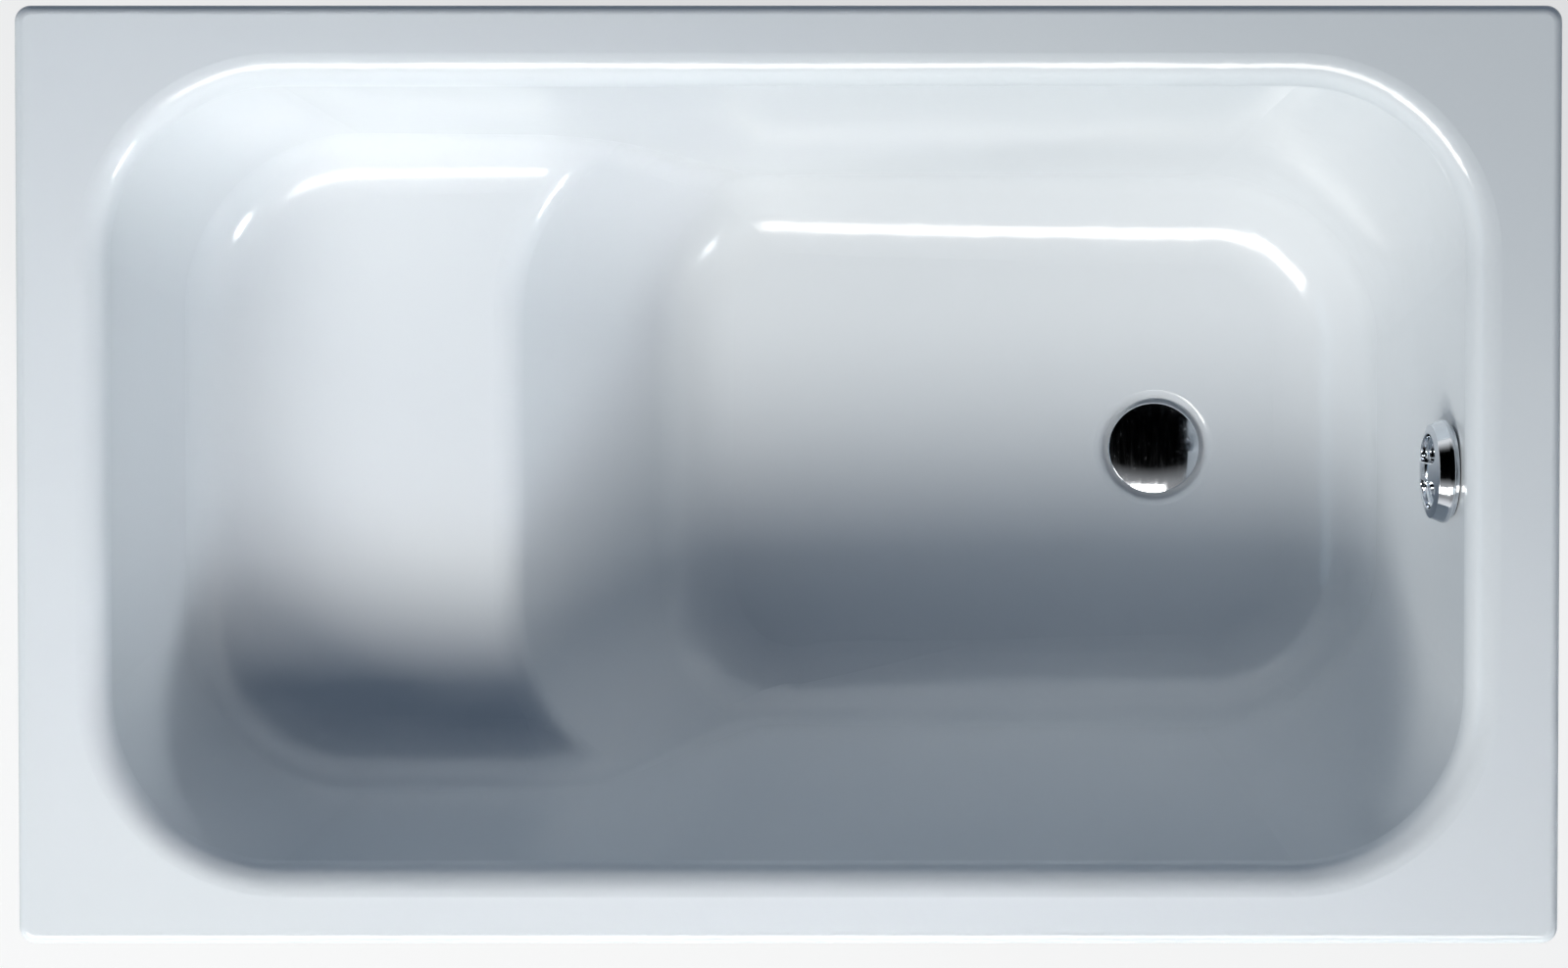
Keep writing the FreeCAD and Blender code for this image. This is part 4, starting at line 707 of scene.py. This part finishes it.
for corner in ("drain_left", "drain_right", "seat_left", "seat_right"):
    node = "foot_spindle_" + corner
    low, high = [Vector(point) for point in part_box(node)]
    rod = ring_mesh("rod", thread(FOOT_THREAD, FOOT_PITCH, low.z, high.z))
    collar = ring_mesh("collar", hexagon(COLLAR_ACROSS, COLLAR_LOW, COLLAR_HIGH))
    middle = (low + high) / 2
    place = Matrix.Translation((middle.x, middle.y, 0.0))
    foot = fit(joined("foot_rod", rod, collar), node, "spindle_" + corner, [place])
    print(foot.name, "faces:", len(foot.data.polygons))

# %% [markdown]
# The jam nuts lock the feet. The bolts and nuts of the rails lie along X, so the ring stacks, which stand
# along Z, are laid over by a quarter turn about Y. Each place is measured from the CAD piece itself.

# %% Nuts and bolts: places
LAID_OVER = Matrix.Rotation(math.pi / 2, 4, "Y")


def corners_of(node):
    """Lowest and highest corner of each of the four copies that a node holds, one in each quarter."""
    quarters = {}
    for vertex in nodes[node].data.vertices:
        quarters.setdefault((vertex.co.x > 0, vertex.co.y > 0), []).append(vertex.co)
    boxes = []
    for points in quarters.values():
        low = Vector([min(point[i] for point in points) for i in range(3)])
        high = Vector([max(point[i] for point in points) for i in range(3)])
        boxes.append((low, high))
    return boxes


def standing(boxes):
    """Places on the underside of each box."""
    return [Matrix.Translation(((low.x + high.x) / 2, (low.y + high.y) / 2, low.z)) for low, high in boxes]


def lying(boxes):
    """Places at the low end of each box along X, laid over."""
    return [Matrix.Translation((low.x, (low.y + high.y) / 2, (low.z + high.z) / 2)) @ LAID_OVER
            for low, high in boxes]


jam_boxes = corners_of("jam_nuts")
nut_boxes = corners_of("rail_nuts")
bolt_boxes = corners_of("rail_bolts")
print("jam nuts:", len(jam_boxes), "rail nuts:", len(nut_boxes), "rail bolts:", len(bolt_boxes))

# %% [markdown]
# A nut is a hexagon with a bore, and the two stacks close into one hollow form. A bolt is a threaded shank
# with a chamfered head. Each is made once and set at its four places. A little play keeps nut and thread
# apart, as on real ones.

# %% Nuts and bolts: pieces
BOLT_THREAD = 0.004
BOLT_PITCH = 0.00125
BOLT_ACROSS = 0.013
BOLT_HEAD = 0.0053
JAM_PLAY = 0.0002
NUT_PLAY = 0.0001


def nut_mesh(across, hole, length):
    return ring_mesh("nut", hexagon(across, 0.0, length) + bore(hole, 0.0, length), hollow=True)


jam_height = jam_boxes[0][1].z - jam_boxes[0][0].z
nut_length = nut_boxes[0][1].x - nut_boxes[0][0].x
bolt_length = bolt_boxes[0][1].x - bolt_boxes[0][0].x
fit(nut_mesh(COLLAR_ACROSS, FOOT_THREAD + JAM_PLAY, jam_height), "jam_nuts", "tub", standing(jam_boxes))
fit(nut_mesh(BOLT_ACROSS, BOLT_THREAD + NUT_PLAY, nut_length), "rail_nuts", "tub", lying(nut_boxes))
shank = ring_mesh("shank", thread(BOLT_THREAD, BOLT_PITCH, 0.0, bolt_length - BOLT_HEAD / 2))
head = ring_mesh("head", hexagon(BOLT_ACROSS, bolt_length - BOLT_HEAD, bolt_length, cut_low=False))
fit(joined("bolt", shank, head), "rail_bolts", "tub", lying(bolt_boxes))
print("nut length:", round(nut_length, 4), "bolt length:", round(bolt_length, 4))

# %% [markdown]
# ## Floor
# A plain pale floor. In the photograph the ground is pure white, so what the camera and the metal see of
# the floor is partly its own light of strength 1, which is white; the rest is the shaded floor, which keeps
# the tub's shadow. The share of white grows with the distance from the tub, so that the floor fades into the
# studio as a paper roll does. For all other rays it is an ordinary pale floor.

# %% Floor
FLOOR_REACH = 9.0  # from the middle to the edge, in metres
PALE = (0.80, 0.80, 0.80)
PALE_ROUGHNESS = 0.8
FLOOR_GLOW = 0.7  # share of plain white in what the camera sees beside the tub
FADE_START = 1.2  # from the middle of the tub, in metres
FADE_END = 3.5


def seen_directly(tree):
    """1 for rays that show the surroundings: from the camera, in a reflection or through glass."""
    path = add(tree, "ShaderNodeLightPath")
    shown = figure(tree, "MAXIMUM", path.outputs["Is Camera Ray"], path.outputs["Is Glossy Ray"])
    return figure(tree, "MAXIMUM", shown, path.outputs["Is Transmission Ray"])


def floor_finish():
    material, tree, shader = new_finish("pale_floor")
    shader.inputs["Base Color"].default_value = (*PALE, 1.0)
    shader.inputs["Roughness"].default_value = PALE_ROUGHNESS
    glow = add(tree, "ShaderNodeEmission", Strength=1.0)
    distance = add(tree, "ShaderNodeVectorMath", operation="LENGTH")
    tree.links.new(metres(tree), distance.inputs[0])
    white_share = spread(tree, distance.outputs["Value"], FLOOR_GLOW, 1.0, FADE_START, FADE_END)
    blend = add(tree, "ShaderNodeMixShader")
    tree.links.new(figure(tree, "MULTIPLY", seen_directly(tree), white_share), blend.inputs["Fac"])
    tree.links.new(shader.outputs["BSDF"], blend.inputs[1])
    tree.links.new(glow.outputs["Emission"], blend.inputs[2])
    tree.links.new(blend.outputs["Shader"], tree.nodes["Material Output"].inputs["Surface"])
    return material


floor_grid = bmesh.new()
bmesh.ops.create_grid(floor_grid, x_segments=1, y_segments=1, size=FLOOR_REACH)
floor_mesh = bpy.data.meshes.new("floor")
floor_grid.to_mesh(floor_mesh)
floor_grid.free()
floor_mesh.materials.append(floor_finish())
floor = bpy.data.objects.new("floor", floor_mesh)
scene.collection.objects.link(floor)
floor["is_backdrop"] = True
print("floor:", FLOOR_REACH * 2, "m wide")

# %% [markdown]
# ## Light
# In the photograph the light comes from the lower side of the picture and stronger from the left: the seat
# and the upper walls are bright, the coves carry one long highlight, and the near wall lies in a deep, cool
# shadow. A row of three soft boxes beside the tub gives that; one box could not fall off towards the drain.
# A small box beyond the drain has a honeycomb grid that narrows its beam, so it reaches the front of the
# seat but not the rim beside it. A weak, low box beyond the seat cools the shadows.

# %% Soft boxes
RIM_HEIGHT = cad_high.z
ROW_DISTANCE = 3.6
ROW_RISE = math.radians(49)
ROW_Y = -ROW_DISTANCE * math.cos(ROW_RISE)
ROW_Z = RIM_HEIGHT + ROW_DISTANCE * math.sin(ROW_RISE)
ROW_BOX = (1.95, 1.0)
END_BOX = (0.6, 0.6)
OPEN_BEAM = 180.0  # degrees, like the other beam
GRID_BEAM = 18.0
SOFT_BOXES = {  # place, where along the rim it aims, size, beam, watts, colour
    "left_box": ((-1.95, ROW_Y, ROW_Z), -0.49, ROW_BOX, OPEN_BEAM, 124.0, (1.0, 0.99, 0.95)),
    "middle_box": ((0.0, ROW_Y, ROW_Z), 0.0, ROW_BOX, OPEN_BEAM, 60.0, (1.0, 0.96, 0.91)),
    "right_box": ((1.95, ROW_Y, ROW_Z), 0.49, ROW_BOX, OPEN_BEAM, 3.0, (0.70, 0.88, 1.0)),
    "end_box": ((2.9, -2.2, 2.4), -0.24, END_BOX, GRID_BEAM, 0.9, (0.92, 0.96, 1.0)),
    "low_box": ((-3.2, -0.5, 2.3), 0.0, ROW_BOX, OPEN_BEAM, 5.0, (0.50, 0.78, 1.0)),
}

for name, (place, aim_x, size, beam, power, color) in SOFT_BOXES.items():
    lamp = bpy.data.lights.new(name, "AREA")
    lamp.shape = "RECTANGLE"
    lamp.size, lamp.size_y = size
    lamp.spread = math.radians(beam)
    lamp.energy = power
    lamp.color = color
    holder = bpy.data.objects.new(name, lamp)
    scene.collection.objects.link(holder)
    holder.location = place
    aim = Vector((aim_x, 0.0, RIM_HEIGHT)) - holder.location
    holder.rotation_euler = aim.to_track_quat("-Z", "Y").to_euler()
    holder.visible_camera = False
print("soft boxes:", len(SOFT_BOXES))

# %% [markdown]
# ## Studio
# What surrounds the tub is a world shader, which gives each direction a colour. A picture of a studio could
# do that too, but arithmetic keeps each wall adjustable and needs no file. The tools below dim a colour, add
# two colours, and say how far a direction points along an axis.

# %% Studio: tools
BLACK = (0.0, 0.0, 0.0)
WHITE = (1.0, 1.0, 1.0)


def times(tree, share, color):
    """A colour, dimmed by a share."""
    return mixed(tree, share, BLACK, color)


def plus(tree, first, second):
    total = add(tree, "ShaderNodeVectorMath", operation="ADD")
    tree.links.new(first, total.inputs[0])
    tree.links.new(second, total.inputs[1])
    return total.outputs["Vector"]


def towards(tree, axis, sign=1.0):
    """How far a direction points along an axis; 0 where it points the other way."""
    return figure(tree, "MAXIMUM", figure(tree, "MULTIPLY", axis, sign), 0.0)


def squared(tree, value):
    return figure(tree, "MULTIPLY", value, value)


print("studio tools:", [tool.__name__ for tool in (times, plus, towards, squared)])

# %% [markdown]
# The plug is black in the photograph, so the ceiling of that studio was dark. The world is therefore white
# only low down in reflections, with a taller grey wall behind the row of boxes, and white all round for the
# camera. As light it adds no more than a little blue, most of it from the near side.

# %% Studio round the tub
NEAR_LIGHT = (0.11, 0.28, 0.36)
FAR_LIGHT = (0.03, 0.10, 0.18)
CEILING_LIGHT = (0.0, 0.02, 0.08)
WALL_LIGHT = (0.04, 0.045, 0.05)
WALL_TOP = (0.25, 0.55)  # sines of the heights between which the white walls end in the dark ceiling
NEAR_WALL_GREY = 0.35
NEAR_WALL_TOP = (0.25, 0.6)
NEAR_WALL_LIFT = 1.3  # how much the wall behind the soft boxes rises towards its middle

world = bpy.data.worlds.new("studio")
scene.world = world
world.use_nodes = True
tree = world.node_tree
direction = add(tree, "ShaderNodeSeparateXYZ")
tree.links.new(add(tree, "ShaderNodeTexCoord").outputs["Generated"], direction.inputs["Vector"])
near = towards(tree, direction.outputs["Y"], -1.0)
far = towards(tree, direction.outputs["Y"])
up = towards(tree, direction.outputs["Z"])
walls = spread(tree, direction.outputs["Z"], 1.0, 0.0, *WALL_TOP)

light = times(tree, squared(tree, near), NEAR_LIGHT)
light = plus(tree, light, times(tree, squared(tree, up), CEILING_LIGHT))
light = plus(tree, light, times(tree, squared(tree, far), FAR_LIGHT))
light = plus(tree, light, times(tree, walls, WALL_LIGHT))

lowered = figure(tree, "SUBTRACT", direction.outputs["Z"], figure(tree, "MULTIPLY", near, NEAR_WALL_LIFT))
near_wall = spread(tree, lowered, NEAR_WALL_GREY, 0.0, *NEAR_WALL_TOP)
mirrored = figure(tree, "MULTIPLY", seen_directly(tree), figure(tree, "MAXIMUM", walls, near_wall))
path = add(tree, "ShaderNodeLightPath")
backdrop = times(tree, figure(tree, "MAXIMUM", path.outputs["Is Camera Ray"], mirrored), WHITE)
lighting = times(tree, figure(tree, "SUBTRACT", 1.0, seen_directly(tree)), light)
tree.links.new(plus(tree, lighting, backdrop), tree.nodes["Background"].inputs["Color"])
print("studio:", world.name, "nodes:", len(tree.nodes))

# %% [markdown]
# ## Finish
# The Standard view transform shows a colour as it was written. The size of the dressed tub is kept beside
# that of the CAD model, to see that nothing has grown.

# %% Finish
scene.view_settings.view_transform = "Standard"
low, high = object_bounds()
print("dressed size:", [round(b - a, 4) for a, b in zip(low, high)])
